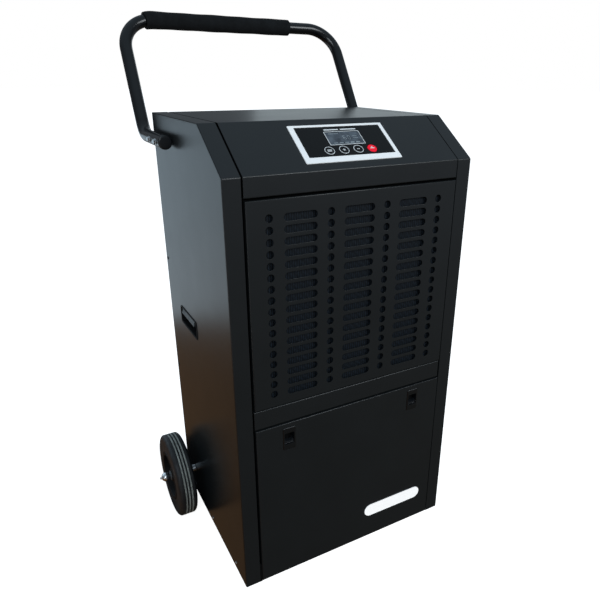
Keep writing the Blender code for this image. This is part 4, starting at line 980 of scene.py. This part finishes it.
def build_carry_handle(name, side):
    """A flush cup with a rounded rim, a pocket, and a sloping grip lip across its upper part."""
    low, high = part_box("carry_handle_right")
    rim_x, back_x = high.x, low.x

    def outline(inset, corner=0.0070):
        return rounded_rectangle((low.y + inset, low.z + inset), (high.y - inset, high.z - inset), corner)

    inside = outline(0.0040, 0.004)
    shape = loft([(outline(0.0025), back_x + 0.0012), (outline(0.0021), back_x + 0.004),
                  (outline(0.002), SIDE - 0.0015), (outline(0), SIDE + GAP), (outline(0), rim_x - 0.0004),
                  (outline(0.0004, 0.0066), rim_x), (outline(0.0030, 0.0046), rim_x),
                  (outline(0.0036, 0.0042), rim_x - 0.0006), (inside, rim_x - 0.003),
                  (inside, back_x + 0.006), (outline(0.006, 0.003), back_x + 0.0035)], "X")
    piece(f"side_grip_{name}", shape, "matte_black", [f"carry_handle_{name}"], side=side)
    lip_top, lip_low = high.z - 0.0043, (low.z + high.z) / 2 + 0.0015
    lip = [(rim_x - 0.0036, lip_top), (rim_x - 0.0028, lip_top - 0.0030), (rim_x - 0.0010, lip_low + 0.0012),
           (rim_x - 0.0014, lip_low), (rim_x - 0.0042, lip_low), (rim_x - 0.0052, lip_low + 0.0010),
           (rim_x - 0.0062, lip_top)]
    shape = loft([(lip, low.y + LIP_END + LIP_SLOT), (lip, high.y - LIP_END)], "Y")
    piece(f"side_lip_{name}", shape, "black_plastic", side=side)


# ---------------------------------------------------------------- rear and inside

def build_rear_fittings():
    """The mains cord gland with its ribbed cap, and the hose spigot with four barbs."""
    face, (x, _, z) = BACK - 0.0015, centre_of("cord_gland")
    gland = lathe([(0.0045, -0.004), (0.0095, -0.004), (0.0095, 0.0002), (0.0145, 0.0002), (0.0150, 0.0008),
                   (0.0145, 0.0022), (0.0112, 0.0026), (0.0112, 0.0060), (0.0108, 0.0066), (0.0112, 0.0072),
                   (0.0110, 0.0120), (0.0085, 0.0145), (0.0060, 0.0150), (0.0045, 0.0148)],
                  (x, face, z), "Y", 48)
    hexagon((x, z), 0.0235, "Y", face + 0.0024, face + 0.0062, gland)
    half = 0.0006
    for rib_x, rib_z in circle((x, z), 0.0110, 16):
        block((rib_x - half, face + 0.0074, rib_z - half), (rib_x + half, face + 0.0118, rib_z + half), 0.0,
              gland)
    piece("mains_gland", gland, "black_plastic", ["cord_gland"])
    profile = [(0.0060, -0.006), (0.0095, -0.006), (0.0095, 0.0002), (0.0155, 0.0002), (0.0160, 0.0008),
               (0.0155, 0.0055), (0.0085, 0.0060), (0.0083, 0.0085)]
    for i in range(4):
        start = 0.0085 + 0.0048 * i
        profile += [(0.0095, start + 0.0004), (0.0094, start + 0.0010), (0.0084, start + 0.0046)]
    profile += [(0.0078, 0.0282), (0.0066, 0.0282)]
    shape = lathe(profile, (centre_of("drain_spigot").x, face, z), "Y", 48)
    piece("hose_spigot", shape, "black_plastic", ["drain_spigot"])


def build_bucket():
    """The bucket: rounded walls with a rolled rim, level marks, the float's post and the bail's ears."""
    low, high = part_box("water_bucket")
    bail_low, bail_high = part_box("bucket_bail")
    rim_z, bail_y, bail_z = bail_low.z - 0.0036, bail_high.y - BAIL_R, (bail_low.z + bail_high.z) / 2
    wall = 0.0025

    def outline(inset, corner):
        return rounded_rectangle((low.x + inset, low.y + inset), (high.x - inset, high.y - inset), corner, 6)

    body, rim, inside = outline(0.0012, 0.016), outline(0.0001, 0.017), outline(wall + 0.0012, 0.014)
    shape = loft([(outline(0.008, 0.010), low.z), (outline(0.003, 0.014), low.z + 0.002),
                  (body, low.z + 0.008),
                  (body, rim_z - 0.010), (rim, rim_z - 0.009), (rim, rim_z - 0.001),
                  (outline(0.0010, 0.016), rim_z),
                  (outline(wall, 0.0145), rim_z), (inside, rim_z - 0.002), (inside, low.z + 0.010),
                  (outline(0.006, 0.012), low.z + 0.0045), (outline(0.012, 0.010), low.z + wall)])
    ear = [(y, z) for z, y in pill((bail_z - 0.006, bail_y), 0.026, 0.016)][::-1]
    for side in (-1, 1):
        near, far = sorted((side * (high.x - 0.0001), side * (high.x - wall)))
        slab(ear, "X", near, far, 0.0004, shape)
    for i in range(1, 5):
        z = low.z + 0.035 * i
        block((-0.020, low.y + 0.0008, z), (0.020 if i % 2 else 0.0, low.y + 0.0014, z + 0.0008), 0.0, shape)
    post = [(0, 0.002), (0.0045, 0.002), (0.0040, 0.005), (0.0040, 0.184), (0.0034, 0.187), (0, 0.188)]
    post_y = centre_of("float").y
    lathe(post, (0, post_y, low.z), "Z", 24, shape)
    piece("bucket", shape, "bucket_plastic", ["water_bucket"], "bucket")
    reach, front_y, pin = bail_high.x - BAIL_R, bail_low.y + BAIL_R, high.x - 0.006
    path = [(-pin, bail_y, bail_z), (-reach, bail_y, bail_z), (-reach, front_y, bail_z),
            (reach, front_y, bail_z),
            (reach, bail_y, bail_z), (pin, bail_y, bail_z)]
    bail = tube(rounded_path(path, (0.0045, 0.012, 0.012, 0.0045), 8), BAIL_R, 16)
    tube([(-0.045, front_y, bail_z), (0.045, front_y, bail_z)], 0.00255, 16, bail)
    piece("bail_wire", bail, "zinc_steel", ["bucket_bail"], "bail", smooth=50)
    profile = [(0.0048, 0), (0.0190, 0), (0.0210, 0.0008), (0.0219, 0.0030), (0.0220, 0.0110),
               (0.0219, 0.0190),
               (0.0210, 0.0212), (0.0190, 0.0220), (0.0048, 0.0220)]
    shape = lathe(profile, (0, post_y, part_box("float")[0].z), "Z", 48)
    piece("float_ring", shape, "float_foam", ["float"], "float")


def build_fan():
    """Five pitched blades that widen and twist towards their tips, on a domed hub."""
    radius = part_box("fan")[1].x - 0.002
    centre = Vector((0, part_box("fan_motor")[0].y - 0.042, centre_of("fan_motor").z))
    hub = [(0, -0.0160), (0.0150, -0.0155), (0.0260, -0.0140), (0.0325, -0.0090), (0.0340, -0.0040),
           (0.0340, 0.0175), (0.0330, 0.0180), (0.0050, 0.0180), (0.0050, 0.0400), (0, 0.0400)]
    shape = lathe(hub, centre, "Y", 48)
    for blade in range(5):
        turn = Matrix.Translation(centre) @ Matrix.Rotation(2 * math.pi * blade / 5, 4, "Y")
        rows = []
        for i in range(13):
            share = i / 12
            out = 0.026 + (radius - 0.030) * share
            chord = 0.017 + 0.016 * math.sin(math.pi * min(1, share * 0.75 + 0.1))
            pitch = math.radians(38 - 16 * share)
            row = []
            for k in range(16):
                angle = 2 * math.pi * k / 16
                along = chord * math.cos(angle)
                rise = 0.0011 * math.sin(angle) + 0.0035 * (1 - math.cos(angle) ** 2)
                across = along * math.cos(pitch) - rise * math.sin(pitch) + 0.010 * share * share
                local = (across, along * math.sin(pitch) + rise * math.cos(pitch), out)
                row.append(shape.verts.new(turn @ Vector(local)))
            rows.append(row)
        skin(shape, rows, capped=True)
    piece("fan_rotor", shape, "black_plastic", ["fan"], "fan", smooth=45)


def dress_frame():
    """Gives every carried-over CAD node its procedural material."""
    slots = {entry["node"]: entry["material_slot"] for entry in frame["record"]["subparts"]}
    for name, node in frame["nodes"].items():
        node.data.materials.clear()
        node.data.materials.append(M[slots[name]])


# ---------------------------------------------------------------- scene

# The room's colour by height: brown low on the left, dark low on the right, dim walls and a lighter ceiling
WALLS = ((0.05, (0.11, 0.12, 0.13)), (0.35, (0.148, 0.170, 0.194)), (0.85, (0.31, 0.385, 0.445)))
ROOM_LEFT = ((-0.9, (0.085, 0.042, 0.014)), (-0.45, (0.17, 0.088, 0.034)), (-0.15, (0.11, 0.10, 0.095)))
ROOM_RIGHT = ((-0.9, (0.050, 0.043, 0.033)), (-0.45, (0.115, 0.106, 0.088)), (-0.10, (0.26, 0.28, 0.31)))


def card(name, location, target, size, power, colour):
    """A soft light that the camera doesn't see."""
    light = bpy.data.lights.new(name, "AREA")
    light.shape = "RECTANGLE"
    light.size, light.size_y = size
    light.energy = power
    light.color = colour
    made = bpy.data.objects.new(name, light)
    made.location = location
    made.rotation_euler = (Vector(target) - Vector(location)).to_track_quat("-Z", "Y").to_euler()
    made.visible_camera = False
    bpy.context.scene.collection.objects.link(made)


def build_world():
    """A white backdrop for the camera, and a dim room for the object."""
    world = bpy.data.worlds.new("studio")
    bpy.context.scene.world = world
    world.use_nodes = True
    tree = world.node_tree

    def mix(factor, first, second):
        made = tree.nodes.new("ShaderNodeMix")
        made.data_type = "RGBA"
        connect(tree, made, Factor=factor, A=first, B=second)
        return made.outputs["Result"]

    upward = node(tree, "SeparateXYZ", "Z", Vector=node(tree, "TexCoord", "Generated"))
    sideways = remap(tree, upward.node.outputs["X"], 0.0, 1.0, -0.3, 0.2)
    height = remap(tree, upward, 0.0, 1.0, -1.0, 1.0)
    left, right = (gradient(tree, height, [((level + 1) / 2, colour) for level, colour in (*low, *WALLS)])
                   for low in (ROOM_LEFT, ROOM_RIGHT))
    seen = node(tree, "LightPath", "Is Camera Ray")
    backdrop = mix(seen, mix(sideways, left, right), (1.0, 1.0, 1.0, 1.0))
    connect(tree, tree.nodes["Background"], Color=backdrop)


def build_studio():
    """The world, the floor and a few soft cards."""
    build_world()
    build_floor()
    card("rear_card", (1.81, 2.13, 1.5), (0, 0, TOP), (2.0, 1.2), 4.6, (0.82, 0.95, 1.0))
    card("side_card", (-0.72, 0.76, 0.49), (-SIDE, -0.08, 0.49), (1.0, 0.76), 1.95, (0.60, 0.80, 0.94))
    card("key", (1.3, -2.5, 1.9), (0, 0, 0.7), (1.3, 1.3), 34, (0.89, 0.95, 0.98))
    card("fill", (-1.5, -2.4, 1.9), (0, 0, 0.6), (1.0, 1.2), 20, (0.84, 0.94, 1.0))
    card("low_card", (-1.45, -0.95, 0.30), (0, 0, 0.4), (0.4, 0.9), 2.2, (0.9, 0.97, 1.0))


def flat_stage(name, outline, height, finish):
    """A flat piece of the studio, such as the floor."""
    shape = bmesh.new()
    shape.faces.new(ring(shape, outline, "Z", height))
    mesh = bpy.data.meshes.new(name)
    shape.to_mesh(mesh)
    shape.free()
    made = bpy.data.objects.new(name, mesh)
    bpy.context.scene.collection.objects.link(made)
    mesh.materials.append(M[finish])
    return made


def build_floor():
    """The white floor that the camera sees, and the shade round a wheel that only the paint reflects."""
    floor = flat_stage("floor", circle((0, 0), 40.0, 64), -0.0002, "floor_white")
    floor.visible_diffuse = floor.visible_glossy = False
    low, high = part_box("wheel_tyre_left")
    outline = rounded_rectangle((low.x - 0.03, low.y + 0.04), (-SIDE + 0.004, high.y + 0.18), 0.03)
    shaded = flat_stage("floor_shade", outline, -0.0001, "shadow_black")
    shaded.visible_camera = shaded.visible_shadow = False


def build_camera():
    camera = bpy.data.cameras.new("camera")
    camera.lens, camera.sensor_width = CAMERA_LENS, 36.0
    camera.shift_x, camera.shift_y = CAMERA_SHIFT
    made = bpy.data.objects.new("camera", camera)
    heading, tilt, roll = (math.radians(angle) for angle in CAMERA_ANGLES)
    turns = Matrix.Rotation(heading, 4, "Z") @ Matrix.Rotation(tilt, 4, "X") @ Matrix.Rotation(roll, 4, "Z")
    made.matrix_world = Matrix.Translation(CAMERA_AT) @ turns
    bpy.context.scene.collection.objects.link(made)
    bpy.context.scene.camera = made
    bpy.context.scene.view_settings.view_transform = "Standard"


build_camera()
build_studio()
dress_frame()
build_cover()
build_rear()
build_rail()
build_grille()
build_door()
build_display()
build_push_handle()
build_rear_fittings()
build_bucket()
build_fan()
for side_name, side_sign in SIDES:
    build_side(side_name, side_sign)
    build_latch(side_name)
    build_wheel(side_name, side_sign)
    build_foot(side_name, side_sign)
    build_carry_handle(side_name, side_sign)
